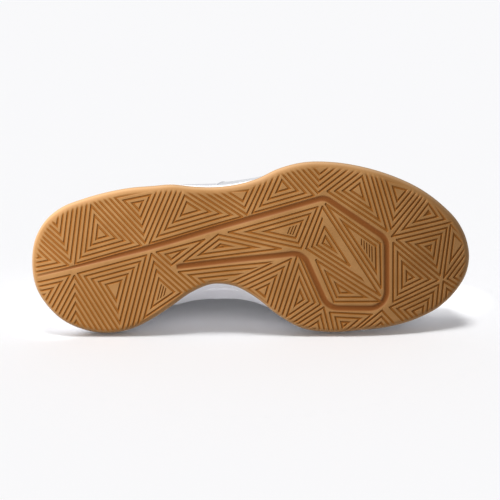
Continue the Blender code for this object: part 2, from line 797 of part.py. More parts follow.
def main():
    for obj in list(bpy.data.objects):
        bpy.data.objects.remove(obj)
    shoe = bpy.data.objects.new("shoe", None)
    bpy.context.scene.collection.objects.link(shoe)
    makers = (make_outsole, make_midsole, make_insole, make_upper, make_tongue, make_lace)
    pieces = [make(shoe) for make in makers]
    lay_down(shoe, pieces)


main()
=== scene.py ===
import json
import math

import bmesh
import bpy
import numpy as np
from mathutils import Matrix, Vector
from mathutils.geometry import delaunay_2d_cdt


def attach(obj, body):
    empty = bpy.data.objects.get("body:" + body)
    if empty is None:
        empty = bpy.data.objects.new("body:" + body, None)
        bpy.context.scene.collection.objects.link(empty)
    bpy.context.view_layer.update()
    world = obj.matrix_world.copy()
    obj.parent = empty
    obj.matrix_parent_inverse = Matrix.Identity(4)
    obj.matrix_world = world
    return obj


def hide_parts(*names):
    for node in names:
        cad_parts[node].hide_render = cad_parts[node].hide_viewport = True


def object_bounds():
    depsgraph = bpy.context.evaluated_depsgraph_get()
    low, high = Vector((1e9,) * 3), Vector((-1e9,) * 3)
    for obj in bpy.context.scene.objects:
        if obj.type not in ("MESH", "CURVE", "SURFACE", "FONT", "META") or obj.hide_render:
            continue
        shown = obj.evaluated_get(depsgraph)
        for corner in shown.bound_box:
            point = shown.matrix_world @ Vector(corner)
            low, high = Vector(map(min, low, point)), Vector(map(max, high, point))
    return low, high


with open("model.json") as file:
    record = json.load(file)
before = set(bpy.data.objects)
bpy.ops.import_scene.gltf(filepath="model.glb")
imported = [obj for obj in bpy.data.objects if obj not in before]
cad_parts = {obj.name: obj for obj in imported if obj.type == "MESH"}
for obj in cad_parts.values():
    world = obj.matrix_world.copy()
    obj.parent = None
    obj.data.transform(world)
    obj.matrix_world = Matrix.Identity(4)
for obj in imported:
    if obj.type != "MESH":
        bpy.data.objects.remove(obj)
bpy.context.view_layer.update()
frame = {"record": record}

# How the shoe lies
# A right shoe lies on its medial side. Its pieces are shaped standing, in millimetres: X from
# heel to toe, Y to the medial side, Z up. The two tread mounts say where that frame lies.
MILLIMETRE = 0.001
HEEL_SPOT = Vector((52.0, 27.0, 0.0))
FOREFOOT_SPOT = Vector((190.0, -18.0, 0.0))
mounts = {mount["name"]: mount for mount in frame["record"]["mounts"]}
heel_at = Vector(mounts["heel_tread"]["pos_m"])
forefoot_at = Vector(mounts["forefoot_tread"]["pos_m"])
shoe_up = -Vector(mounts["heel_tread"]["axis"]).normalized()
run_there = forefoot_at - heel_at
run_there = (run_there - shoe_up * run_there.dot(shoe_up)).normalized()
run_here = (FOREFOOT_SPOT - HEEL_SPOT).normalized()
axes_there = Matrix((run_there, shoe_up.cross(run_there), shoe_up)).transposed()
axes_here = Matrix((run_here, Vector((-run_here.y, run_here.x, 0)), Vector((0, 0, 1))))
shoe_turn = np.array(axes_there @ axes_here)
shoe_place = np.array(heel_at) - shoe_turn @ np.array(HEEL_SPOT) * MILLIMETRE


def lying(points):
    """Standing points in millimetres, as they lie in the scene in metres."""
    return np.asarray(points, float) @ shoe_turn.T * MILLIMETRE + shoe_place


# Outsole
# One moulding of gum rubber, cemented under the midsole: a tread of nested triangles, a long
# flex groove and an edge that rolls up into a lip round the midsole.
SOLE_LENGTH = 290.0
RUBBER = 4.5
RUBBER_LIP = 7.0
EDGE_ROLL = 4.0
LIP_CHAMFER = 0.8
# Width of the band by the rim that is painted paler: a painted highlight, as is the whole lip.
LIP_HIGHLIGHT_WIDTH = 2.2
TOE_SPRING = 14.0
TOE_SPRING_FROM = 203.0
HEEL_BEVEL = 3.0
HEEL_BEVEL_TO = 26.0
ARCH_LIFT = 2.0
ARCH_FROM = 84.0
ARCH_TO = 166.0
SECTIONS = np.array([
    # x, medial, lateral, medial_in, lateral_in, rim
    (0.0, 3.0, 3.0, 7.0, 7.0, 37.0),
    (3.0, 21.0, -14.0, 7.0, 7.0, 36.5),
    (10.0, 32.1, -25.4, 7.5, 7.5, 36.0),
    (20.0, 41.4, -33.4, 8.0, 8.0, 35.0),
    (34.0, 47.8, -39.0, 8.5, 8.0, 34.0),
    (50.0, 50.1, -43.6, 9.0, 8.0, 33.0),
    (66.0, 47.1, -46.6, 8.0, 7.5, 32.5),
    (80.0, 40.1, -47.8, 2.5, 6.5, 32.5),
    (92.0, 32.1, -48.8, -4.5, 5.0, 33.0),
    (106.0, 22.4, -47.4, -11.0, 3.5, 33.0),
    (120.0, 17.2, -47.0, -14.5, 3.0, 32.5),
    (134.0, 18.7, -48.6, -13.0, 3.0, 31.0),
    (148.0, 26.1, -52.6, -7.5, 4.0, 29.0),
    (162.0, 37.1, -59.4, -1.5, 5.5, 27.0),
    (178.0, 46.1, -63.7, 3.5, 6.0, 25.0),
    (197.0, 48.9, -64.1, 5.0, 6.0, 23.5),
    (217.0, 47.6, -61.1, 5.0, 6.0, 22.5),
    (237.0, 45.4, -55.1, 5.0, 6.0, 22.0),
    (256.0, 40.1, -46.1, 5.0, 6.0, 21.5),
    (271.0, 32.4, -35.0, 5.5, 6.0, 21.0),
    (282.0, 21.7, -23.4, 6.0, 6.0, 21.0),
    (288.0, 11.5, -11.2, 6.0, 6.0, 21.0),
    (SOLE_LENGTH, 1.5, 1.5, 6.0, 6.0, 21.0),
])
MEDIAL_IN, LATERAL_IN, RIM_UP = 3, 4, 5
LAST_SECTION = len(SECTIONS) - 1
SOLE_EDGE = np.concatenate((SECTIONS[:, (0, 1)], SECTIONS[-2:0:-1, (0, 2)]))


def eased(share):
    """0 below 0, 1 above 1, with soft ends between."""
    share = np.clip(share, 0, 1)
    return share * share * (3 - 2 * share)


def sole_edge(station):
    """Points and outward normals of the sole's edge, heel to toe medially and back."""
    i = np.floor(station).astype(int)
    f = (station - i)[..., None]
    p = [SOLE_EDGE[(i + step) % len(SOLE_EDGE)] for step in (-1, 0, 1, 2)]
    chords = [np.linalg.norm(b - a, axis=-1, keepdims=True) for a, b in zip(p, p[1:])]
    rates = [(b - a) / chord for a, b, chord in zip(p, p[1:], chords)]
    start = (rates[0] * chords[1] + rates[1] * chords[0]) / (chords[0] + chords[1]) * chords[1]
    end = (rates[1] * chords[2] + rates[2] * chords[1]) / (chords[1] + chords[2]) * chords[1]
    point = p[1] * (1 + 2 * f) * (1 - f) ** 2 + p[2] * f * f * (3 - 2 * f)
    point = point + start * f * (1 - f) ** 2 + end * f * f * (f - 1)
    along = (p[2] - p[1]) * 6 * f * (1 - f) + start * (1 - f) * (1 - 3 * f) + end * f * (3 * f - 2)
    along = along / np.linalg.norm(along, axis=-1, keepdims=True)
    return point, np.stack((-along[..., 1], along[..., 0]), -1)


def at_inset(station, inset):
    """Points so far inside the sole's edge."""
    station = np.asarray(station, float)
    point, out = sole_edge(station)
    return point - out * np.broadcast_to(inset, station.shape)[..., None]


def stations(count):
    """Evenly spread stations, count on each side, the heel first."""
    return np.arange(2 * count) * LAST_SECTION / count


def ground(x):
    """Height of the tread over the floor: heel bevel, arch and toe spring."""
    toe = np.clip((x - TOE_SPRING_FROM) / (SOLE_LENGTH - TOE_SPRING_FROM), 0, None)
    heel = np.clip((HEEL_BEVEL_TO - x) / HEEL_BEVEL_TO, 0, None)
    arch = np.clip(np.abs(2 * x - ARCH_FROM - ARCH_TO) / (ARCH_TO - ARCH_FROM), 0, 1)
    return TOE_SPRING * toe**2 + HEEL_BEVEL * heel**2 + ARCH_LIFT * (1 - arch**2) ** 2


def rubber_top(x, inset):
    """Height of the rubber's upper face, which rises to the lip."""
    lip = eased(1 - np.asarray(inset) / EDGE_ROLL / 2)
    return ground(x) + RUBBER + (RUBBER_LIP - RUBBER) * lip


def edge_roll(inset):
    """How far the tread has risen where its edge rolls up."""
    left = EDGE_ROLL - np.clip(inset, 0, EDGE_ROLL)
    return EDGE_ROLL - np.sqrt(EDGE_ROLL**2 - left**2)


def inside(points, loop):
    """Which points lie inside a closed loop."""
    x, y = points[:, :1], points[:, 1:2]
    a, b = loop, np.roll(loop, -1, 0)
    span = (a[:, 1] > y) != (b[:, 1] > y)
    rise = np.where(a[:, 1] == b[:, 1], 1, b[:, 1] - a[:, 1])
    return (span & (x < (b[:, 0] - a[:, 0]) * (y - a[:, 1]) / rise + a[:, 0])).sum(1) % 2 == 1


NEAREST_BLOCK = 4000


def nearest(points, line):
    """Distance to a line of points, and the place along it as a point number. The points are
    taken in blocks, to save memory."""
    a, runs = line[:-1], np.diff(line, axis=0)
    away, place = np.empty(len(points)), np.empty(len(points))
    for first in range(0, len(points), NEAREST_BLOCK):
        block = slice(first, first + NEAREST_BLOCK)
        p = points[block, None]
        share = np.clip(((p - a) * runs).sum(2) / (runs * runs).sum(1), 0, 1)
        gaps = np.linalg.norm(p - a - runs * share[..., None], axis=2)
        best = gaps.argmin(1)
        rows = np.arange(len(best))
        away[block] = gaps[rows, best]
        place[block] = best + share[rows, best]
    return away, place


def in_scene(name, data):
    """A new object of the scene."""
    made = bpy.data.objects.new(name, data)
    bpy.context.scene.collection.objects.link(made)
    return made


class Body:
    """Points and faces of one piece, put together ring by ring, standing."""

    def __init__(self):
        self.points = np.empty((0, 3))
        self.faces = []

    def add(self, flat, height=None):
        """Adds points, given whole or as (x, y) with their heights, and returns their numbers."""
        if height is not None:
            flat = np.column_stack((flat, height))
        first = len(self.points)
        self.points = np.concatenate((self.points, np.reshape(flat, (-1, 3))))
        return np.arange(first, len(self.points))

    def bridge(self, lower, upper, closed=True):
        """Faces between two rows of points that run the same way."""
        quads = np.column_stack((lower, np.roll(lower, -1), np.roll(upper, -1), upper))
        for quad in (quads if closed else quads[:-1]).tolist():
            corners = list(dict.fromkeys(quad))
            if len(corners) > 2:
                self.faces.append(corners)

    def skin(self, rings):
        """Faces from each ring of points to the next."""
        for lower, upper in zip(rings, rings[1:]):
            self.bridge(lower, upper)

    def cap(self, ring, height, spacing):
        """Fills a ring with a surface of the given height."""
        loop = self.points[ring][:, :2]
        low, high = loop.min(0), loop.max(0)
        grid = np.mgrid[low[0] : high[0] : spacing, low[1] : high[1] : spacing].reshape(2, -1).T
        grid = grid[inside(grid, loop)]
        grid = grid[nearest(grid, np.vstack((loop, loop[:1])))[0] > spacing / 2]
        flat = np.vstack((loop, grid))
        sides = [(n, (n + 1) % len(loop)) for n in range(len(loop))]
        found = delaunay_2d_cdt([Vector(p) for p in flat], sides, [], 0, 1e-6, True)
        numbers = np.concatenate((ring, self.add(grid, height(grid[:, 0]))))
        numbers = numbers[[origin[0] for origin in found[3]]]
        faces = np.array(found[2])
        middles = np.array(found[0])[faces].mean(1)
        self.faces.extend(numbers[faces[inside(middles, loop)]].tolist())

    def make(self, name, finishes, sharp, uv=None, second_from=None):
        """The piece as an object, its faces turned outwards. Edges over the angle sharp stay sharp,
        the map uv is in millimetres, and faces from second_from on have the second finish."""
        mesh = bpy.data.meshes.new(name)
        mesh.from_pydata(lying(self.points).tolist(), [], self.faces)
        work = bmesh.new()
        work.from_mesh(mesh)
        bmesh.ops.recalc_face_normals(work, faces=work.faces)
        if work.calc_volume(signed=True) < 0:
            bmesh.ops.reverse_faces(work, faces=work.faces)
        work.to_mesh(mesh)
        work.free()
        mesh.shade_smooth()
        mesh.set_sharp_from_angle(angle=math.radians(sharp))
        for material in finishes:
            mesh.materials.append(material)
        if second_from is not None:
            second = (np.arange(len(self.faces)) >= second_from).astype(int)
            mesh.polygons.foreach_set("material_index", second)
        if uv is not None:
            corners = np.empty(len(mesh.loops), int)
            mesh.loops.foreach_get("vertex_index", corners)
            mesh.uv_layers.new(name="UVMap").uv.foreach_set("vector", np.ravel(uv[corners]))
        return in_scene(name, mesh)


def mark(piece, name, values):
    """Keeps a value at each point of a piece, for its finish."""
    piece.data.attributes.new(name, "FLOAT", "POINT").data.foreach_set("value", values)


FLEX_CORNERS = [
    # x, y, corner radius
    (4.3, 11.7, 0.0),
    (78.3, -7.8, 200.0),
    (193.0, -41.4, 8.0),
    (233.9, -13.8, 10.0),
    (234.6, 32.5, 11.0),
    (195.6, 32.1, 11.0),
    (178.8, -4.7, 10.0),
    (97.0, 5.0, 0.0),
]
FLEX_PROFILE = np.array([
    # away from the middle, share of the depth
    (0.0, 1.0),
    (0.9, 0.95),
    (1.5, 0.60),
    (1.9, 0.22),
    (2.4, 0.0),
])
FLEX_DEPTH = 0.7
FLEX_FADE_FROM = 5.0
FLEX_FADE_TO = 60.0
FLEX_FAINT = 0.45
FLEX_NARROW = 0.45
FLEX_WIDE_FROM = 90.0
FLEX_STEP = 1.6
FLEX_TURN_STEP = math.radians(5)
# How strongly the flex groove is coloured darker: painted shade in its channel.
FLEX_SHADE_GAIN = 1.5


def flex_line():
    """Middle line of the flex groove, its corners rounded to their radii."""
    points = [np.array(FLEX_CORNERS[0][:2])]
    for before, here, after in zip(FLEX_CORNERS, FLEX_CORNERS[1:], FLEX_CORNERS[2:]):
        corner = np.array(here[:2])
        back, on = (np.array(end[:2]) - corner for end in (before, after))
        back, on = back / np.linalg.norm(back), on / np.linalg.norm(on)
        half = math.acos(back @ on) / 2
        turn = math.pi - 2 * half
        run = here[2] / math.tan(half)
        middle = corner + (back + on) / np.linalg.norm(back + on) * here[2] / math.sin(half)
        start, end = corner + back * run - middle, corner + on * run - middle
        for f in np.linspace(0, 1, max(3, math.ceil(turn / FLEX_TURN_STEP))):
            arm = start * math.sin((1 - f) * turn) + end * math.sin(f * turn)
            points.append(middle + arm / math.sin(turn))
    points.append(np.array(FLEX_CORNERS[-1][:2]))
    points = np.array(points)
    run = np.append(0, np.linalg.norm(np.diff(points, axis=0), axis=1).cumsum())
    even = np.linspace(0, run[-1], round(run[-1] / FLEX_STEP) + 1)
    return np.column_stack([np.interp(even, run, points[:, n]) for n in (0, 1)])


def flex_width(x):
    """Width of the flex groove against its full width. It narrows towards the heel."""
    forward = eased((x - FLEX_FADE_FROM) / (FLEX_WIDE_FROM - FLEX_FADE_FROM))
    return FLEX_NARROW + (1 - FLEX_NARROW) * forward


def beside(line, away):
    """Closed outline along both sides of a line, at the flex groove's width times away."""
    along = np.gradient(line, axis=0)
    along /= np.linalg.norm(along, axis=1, keepdims=True)
    along *= away * flex_width(line[:, :1])
    across = np.column_stack((-along[:, 1], along[:, 0]))
    ends = np.zeros_like(line)
    ends[0], ends[-1] = -along[0], along[-1]
    return np.vstack((line + ends + across, (line + ends - across)[::-1]))


TREAD_PITCH = 2.97
RIB_GROOVE_TOP = 0.8
RIB_GROOVE_FLOOR = 0.42
RIB_GROOVE_DEPTH = 0.65
RIB_FADE_FROM = 1.0
RIB_FADE_TO = 3.4
LATERAL_FADE = 1.0
LATERAL_FADE_FROM = 30.0
LATERAL_FADE_OVER = 45.0
ISLAND = 1.0
HATCH_PITCH = 1.7
HATCH_GROOVE = 0.5
HATCH_FLOOR = 0.2
BEVEL_UNDER = math.radians(75)
PLAN_STEP = 6.0
PLAN_FROM = (8.0, -58.0)
PLAN_TO = (SOLE_LENGTH, 48.0)
PLAN_BOX = np.array(((-30.0, -90.0), (320.0, -90.0), (320.0, 80.0), (-30.0, 80.0)))
PLAN_WELD = 0.005
RIM_LINES = (RIB_FADE_FROM, 1.5, 2.1, 2.8, RIB_FADE_TO, EDGE_ROLL, 4.8, 5.8, 6.8)
RIM_STEPS = 200
EDGE_STEPS = 600
MOST_GROOVES = 9
TREAD_CELLS = [
    # corners of the outermost groove, which sides are grooved, from the first corner on, the
    # least half width of its core, the most grooves, and where the core has short ribs: the
    # side that they run along and how many there are
    ([(24.5, 4.3), (-9.3, -26.3), (-11.2, 12.7)], "101"),
    ([(26.1, 2.0), (35.0, -63.8), (-3.9, -24.6)], "111"),
    ([(35.6, -48.6), (29.1, 3.3), (72.5, -9.2)], "111"),
    ([(44.0, -44.2), (93.4, -54.8), (75.0, -10.8)], "111"),
    ([(78.1, -10.5), (97.0, -55.3), (138.8, -28.2)], "111"),
    ([(141.7, -29.7), (152.2, -52.5), (111.9, -48.7)], "111"),
    ([(145.5, -30.7), (162.0, -68.8), (185.7, -42.6)], "111"),
    ([(188.3, -44.3), (165.8, -68.8), (224.5, -72.8)], "111"),
    ([(194.6, -45.4), (220.4, -65.5), (234.1, -19.1)], "111"),
    ([(236.8, -20.4), (224.3, -61.0), (262.3, -51.1)], "111"),
    ([(237.3, -15.4), (261.6, -46.9), (277.4, -24.1)], "111", 0.4, 4),
    ([(240.6, -13.1), (274.1, -20.3), (269.9, 11.5)], "111", 0.5),
    ([(276.6, -22.3), (289.2, -9.8), (272.6, 13.0)], "111", 0.4, 3),
    ([(275.2, 13.8), (294.5, -11.7), (298.4, 28.8)], "101"),
    ([(272.4, 15.5), (269.1, 47.4), (297.8, 31.6)], "101"),
    ([(238.3, -11.2), (238.8, 28.2), (268.7, 14.5)], "111", 0.6),
    ([(236.6, 31.9), (269.2, 17.6), (265.5, 61.7)], "111"),
    ([(231.4, 34.0), (207.6, 53.4), (250.7, 54.8)], "101"),
    ([(196.9, 35.2), (224.6, 36.6), (201.9, 55.9)], "111", 0.6),
    ([(192.8, 31.8), (197.8, 51.2), (160.9, 52.7)], "101"),
    ([(175.7, -4.5), (190.8, 29.7), (157.5, 52.8)], "111"),
    ([(171.0, -0.5), (132.0, 18.6), (158.6, 40.1)], "111"),
    ([(158.6, 2.4), (128.5, 17.2), (129.6, 17.5), (160.3, 3.4)], "1000", 0.5, 1),
    ([(97.2, 8.6), (157.3, 2.0), (111.5, 21.5)], "101"),
    ([(79.3, -3.5), (108.4, 22.9), (64.7, 53.0)], "111", ISLAND, 4, 2, 3),
    ([(30.9, 9.9), (75.9, -2.5), (60.4, 58.0)], "111"),
    ([(28.5, 11.4), (10.0, 46.6), (59.3, 62.1)], "101"),
    ([(25.5, 10.9), (-7.8, 19.1), (6.3, 46.6)], "101"),
    ([(82.8, -4.6), (114.0, -12.8), (92.2, 4.1)], "111"),
    ([(123.0, -16.1), (100.7, 1.6), (164.3, -7.3)], "111", 0.5),
    ([(130.0, -17.7), (188.2, -34.9), (177.6, -7.5)], "111", ISLAND, 3, 1, 3),
    ([(191.3, -35.2), (181.0, -7.5), (230.1, 23.9)], "111", ISLAND, 1),
    ([(191.6, -27.9), (184.8, -8.7), (218.8, 13.4)], "110", ISLAND, 1),
    ([(192.9, -21.9), (188.1, -9.9), (209.6, 3.8)], "111", 0.4, 2),
    ([(193.5, -36.9), (229.6, -10.8), (230.5, 18.8)], "111", ISLAND, 2, 1, 5),
    ([(187.5, 0.2), (199.6, 28.0), (230.4, 27.9)], "111"),
]


class Cell:
    """One cell of the tread: its grooved sides, its plain sides and how many grooves it has.
    A side is a point and its inward normal. The tips between two grooved sides are cut off."""

    def __init__(self, corners, grooved, core=ISLAND, most=MOST_GROOVES, hatch=None, ribs=0):
        corners = np.array(corners)
        middle = corners.mean(0)
        self.grooved, self.plain = [], []
        for start, end, flag in zip(corners, np.roll(corners, -1, 0), grooved):
            along = (end - start) / np.linalg.norm(end - start)
            normal = np.array((-along[1], along[0]))
            normal = normal if normal @ (middle - start) > 0 else -normal
            (self.grooved if flag == "1" else self.plain).append((start, normal))
        self.hatch = None if hatch is None else self.grooved[hatch]
        self.ribs = ribs
        before = grooved[-1] + grooved[:-1]
        for n, tip in enumerate(corners):
            arms = corners[n - 1] - tip, corners[(n + 1) % len(corners)] - tip
            left, right = (arm / np.linalg.norm(arm) for arm in arms)
            sharp = left @ right > math.cos(BEVEL_UNDER)
            if sharp and grooved[n] == before[n] == "1":
                self.grooved.append((tip, (left + right) / np.linalg.norm(left + right)))
        self.rings = 0
        while self.rings < most and len(self.loop(self.rings * TREAD_PITCH + core)) > 2:
            self.rings += 1

    def loop(self, inset, end=0.0):
        """The cell's outline with its grooved sides so far in, and its plain sides in by end."""
        loop = PLAN_BOX
        for point, normal in self.grooved:
            loop = cut(loop, point + normal * inset, normal)
        for point, normal in self.plain:
            loop = cut(loop, point + normal * end, normal)
        return loop

    def outlines(self):
        """Outlines along both walls of every groove."""
        for half in (RIB_GROOVE_TOP, RIB_GROOVE_FLOOR):
            for ring in range(self.rings):
                for side in (-half, half):
                    yield self.loop(ring * TREAD_PITCH + side, RIB_GROOVE_TOP - half)
        for rib in range(self.ribs):
            point, normal = self.hatch
            middle = self.core_from() + HATCH_PITCH * (rib + 0.5)
            for half in (HATCH_GROOVE, HATCH_FLOOR):
                strip = self.loop(self.core_from() + HATCH_GROOVE - half)
                strip = cut(strip, point + normal * (middle - half), normal)
                yield cut(strip, point + normal * (middle + half), -normal)

    def core_from(self):
        """How far in the core begins, inside the last groove."""
        return (self.rings - 1) * TREAD_PITCH + RIB_GROOVE_TOP + HATCH_PITCH / 2

    def depth(self, points):
        """Share of the grooves' depth at points of the tread."""
        inset = np.min([(points - point) @ normal for point, normal in self.grooved], axis=0)
        ring = np.clip(np.round(inset / TREAD_PITCH), 0, self.rings - 1)
        away = np.abs(inset - ring * TREAD_PITCH)
        within = RIB_GROOVE_TOP - away
        for point, normal in self.plain:
            within = np.minimum(within, (points - point) @ normal)
        wall = np.clip(within / (RIB_GROOVE_TOP - RIB_GROOVE_FLOOR), 0, 1)
        if self.hatch:
            point, normal = self.hatch
            run = ((points - point) @ normal - self.core_from()) / HATCH_PITCH
            away = np.abs(run % 1 - 0.5) * HATCH_PITCH
            within = np.minimum(HATCH_GROOVE - away, inset - self.core_from())
            hatch = np.clip(within / (HATCH_GROOVE - HATCH_FLOOR), 0, 1)
            wall = np.where((run > 0) & (run < self.ribs), np.maximum(wall, hatch), wall)
        return wall


def cut(loop, point, normal):
    """The part of a convex outline on the inner side of a line."""
    over = (loop - point) @ normal if len(loop) else []
    kept = []
    for p, q, u, v in zip(loop, np.roll(loop, -1, 0), over, np.roll(over, -1)):
        if u >= 0:
            kept.append(p)
        if (u >= 0) != (v >= 0):
            kept.append(p + (q - p) * u / (u - v))
    return np.array(kept)


FLEX_LINE = flex_line()
CELLS = [Cell(*row) for row in TREAD_CELLS]
FINE_EDGE = at_inset(stations(EDGE_STEPS), 0.0)
FINE_EDGE = np.vstack((FINE_EDGE, FINE_EDGE[:1]))


def tread_depth(points, rim):
    """Depth of the tread's grooves at points of the sole, and the shares of painted shade in its
    colour: down the fine grooves and across the flex groove. The tread runs out further from the
    rim on the lateral side."""
    ribs = np.max([cell.depth(points) for cell in CELLS], axis=0)
    away = nearest(points, FLEX_LINE)[0] / flex_width(points[:, 0])
    flex = np.interp(away, FLEX_PROFILE[:, 0], FLEX_PROFILE[:, 1])
    back = eased((points[:, 0] - FLEX_FADE_FROM) / (FLEX_FADE_TO - FLEX_FADE_FROM))
    flex = flex * (FLEX_FAINT + (1 - FLEX_FAINT) * back)
    wide = 1 + LATERAL_FADE * eased((LATERAL_FADE_FROM - points[:, 1]) / LATERAL_FADE_OVER)
    fade = eased((rim - RIB_FADE_FROM * wide) / ((RIB_FADE_TO - RIB_FADE_FROM) * wide))
    depth = np.maximum(ribs * RIB_GROOVE_DEPTH, flex * FLEX_DEPTH) * fade
    return depth, ribs * fade, np.clip(flex * FLEX_SHADE_GAIN, 0, 1) * fade


def tread_plan():
    """Flat plan of the tread: its points and triangles, with an edge along every groove."""
    points, edges = [], []

    def outline(loop):
        first = len(points)
        for start, end in zip(loop, np.roll(loop, -1, 0)):
            pieces = math.ceil(np.linalg.norm(end - start) / PLAN_STEP)
            points.extend(Vector(start + (end - start) * n / pieces) for n in range(pieces))
        count = len(points) - first
        edges.extend((first + n, first + (n + 1) % count) for n in range(count))

    for inset in RIM_LINES:
        outline(at_inset(stations(RIM_STEPS), inset))
    for away in FLEX_PROFILE[1:, 0]:
        outline(beside(FLEX_LINE, away))
    for cell in CELLS:
        for loop in cell.outlines():
            if len(loop) > 2 and inside(loop, FINE_EDGE[:-1]).any():
                outline(loop)
    columns, rows = (np.arange(start, end, PLAN_STEP) for start, end in zip(PLAN_FROM, PLAN_TO))
    points.extend(Vector((x, y)) for x in columns for y in rows)
    flat, _, faces, _, _, _ = delaunay_2d_cdt(points, edges, [], 0, PLAN_WELD, False)
    flat, faces = np.array(flat), np.array(faces)
    border = at_inset(stations(RIM_STEPS), RIB_FADE_FROM)
    faces = faces[inside(flat[faces].mean(1), border)]
    used, faces = np.unique(faces, return_inverse=True)
    return flat[used], faces.reshape(-1, 3)


def border_loop(faces):
    """The points round the rim of a flat patch of triangles, in order."""
    sides = np.concatenate((faces[:, (0, 1)], faces[:, (1, 2)], faces[:, (2, 0)]))
    both = {tuple(side) for side in sides.tolist()}
    after = {a: b for a, b in both if (b, a) not in both}
    loop = [next(iter(after))]
    while after[loop[-1]] != loop[0]:
        loop.append(after[loop[-1]])
    return np.array(loop)


class Wire:
    """A socket of a material or of Geometry Nodes. Arithmetic on it adds Math nodes, and node
    adds any other node."""

    def __init__(self, tree, socket=None):
        self.tree = tree
        self.socket = socket

    def node(self, kind, settings=None, inputs=None, output=0):
        """A new node of a kind, with its settings and then the values or links of its sockets."""
        made = self.tree.nodes.new(kind)
        for name, value in (settings or {}).items():
            setattr(made, name, value)
        for name, value in (inputs or {}).items():
            if isinstance(value, Wire):
                self.tree.links.new(value.socket, made.inputs[name])
            else:
                made.inputs[name].default_value = value
        return Wire(self.tree, made.outputs[output] if made.outputs else None)

    def output(self, number):
        """Another output of the same node."""
        return Wire(self.tree, self.socket.node.outputs[number])

    def maths(self, operation, *values):
        """A Math node on values or wires."""
        return self.node("ShaderNodeMath", {"operation": operation}, dict(enumerate(values)))

    def __add__(self, other):
        return self.maths("ADD", self, other)

    def __sub__(self, other):
        return self.maths("SUBTRACT", self, other)

    def __rsub__(self, other):
        return self.maths("SUBTRACT", other, self)

    def __mul__(self, other):
        return self.maths("MULTIPLY", self, other)

    __radd__ = __add__
    __rmul__ = __mul__

    def band(self, low, high):
        """0 below low, 1 above high, eased between."""
        limits = {"Value": self, "From Min": low, "From Max": high}
        return self.node("ShaderNodeMapRange", {"interpolation_type": "SMOOTHSTEP"}, limits)

    def mix(self, first, second):
        """The first colour where this is 0 and the second where it is 1."""
        colours = {0: self}
        for number, colour in ((6, first), (7, second)):
            colours[number] = colour if isinstance(colour, Wire) else (*colour, 1)
        return self.node("ShaderNodeMix", {"data_type": "RGBA"}, colours, 2)

    def noise(self, scale, detail):
        """Noise on the Object coordinates."""
        where = self.node("ShaderNodeTexCoord", output=3)
        inputs = {"Vector": where, "Scale": scale, "Detail": detail}
        return self.node("ShaderNodeTexNoise", None, inputs)

    def share(self, name):
        """A value that is kept at the points of the piece."""
        return self.node("ShaderNodeAttribute", {"attribute_name": name}, output=2)

    def uv(self):
        """Both coordinates of the piece's own map, in millimetres."""
        u = self.node("ShaderNodeSeparateXYZ", None, {"Vector": self.node("ShaderNodeUVMap")})
        return u, u.output(1)

    def bump(self, strength, distance):
        """Normals that show this height, which is distance metres for 1."""
        inputs = {"Strength": strength, "Distance": distance, "Height": self}
        return self.node("ShaderNodeBump", None, inputs)

    def into(self, socket):
        self.tree.links.new(self.socket, socket)


def new_finish(name, constants):
    """A material with its shader's constant values set: the material, its wires and sockets."""
    material = bpy.data.materials.new(name)
    material.use_nodes = True
    shader = material.node_tree.nodes["Principled BSDF"]
    for socket, value in constants.items():
        shader.inputs[socket].default_value = value
    return material, Wire(material.node_tree), shader.inputs


GUM_LIGHT = (0.250, 0.124, 0.041)
GUM_DEEP = (0.215, 0.103, 0.031)
# Painted shade: the fine grooves are coloured darker down their walls, where shade falls.
GUM_GROOVE_SHADE = (0.185, 0.060, 0.003)
# Painted shade across the flex groove's channel.
GUM_CHANNEL_SHADE = (0.136, 0.039, 0.003)
# Painted highlight on the rolled edge, the lip and the tread by the rim.
GUM_LIP_HIGHLIGHT = (0.410, 0.255, 0.135)
GUM_GROOVE_SHADE_SHARE = 0.9
GUM_LIP_HIGHLIGHT_SHARE = 0.7
GUM_ROUGH = 0.52


def gum_finish():
    material, wires, shader = new_finish("gum_rubber", {"Specular IOR Level": 0.2})
    clouds = wires.noise(scale=55.0, detail=4.0)
    grain = wires.noise(scale=900.0, detail=2.0)
    # Darker down the fine grooves: painted shade.
    groove = wires.share("groove").band(0.0, 0.6) * GUM_GROOVE_SHADE_SHARE
    # Paler on the rolled edge and lip and by the rim: a painted highlight.
    lip = wires.share("lip") * GUM_LIP_HIGHLIGHT_SHARE
    colour = clouds.band(0.3, 0.7).mix(GUM_DEEP, GUM_LIGHT)
    colour = groove.mix(colour, GUM_GROOVE_SHADE)
    # Darker across the flex groove's channel: painted shade.
    colour = wires.share("channel").mix(colour, GUM_CHANNEL_SHADE)
    lip.mix(colour, GUM_LIP_HIGHLIGHT).into(shader["Base Color"])
    (GUM_ROUGH + clouds * 0.12 + grain * 0.1).into(shader["Roughness"])
    (grain + clouds * 0.6).bump(strength=0.25, distance=0.0003).into(shader["Normal"])
    return material


ROLL_INSETS = (0.5, 0.15, 0.0)
LIP_PROFILE = [
    # inside the edge, under the rubber's upper face
    (0.0, LIP_CHAMFER),
    (0.25, LIP_CHAMFER / 4),
    (LIP_CHAMFER, 0.0),
    (EDGE_ROLL, 0.0),
    (2 * EDGE_ROLL, 0.0),
]
CAP_STEP = 8.0


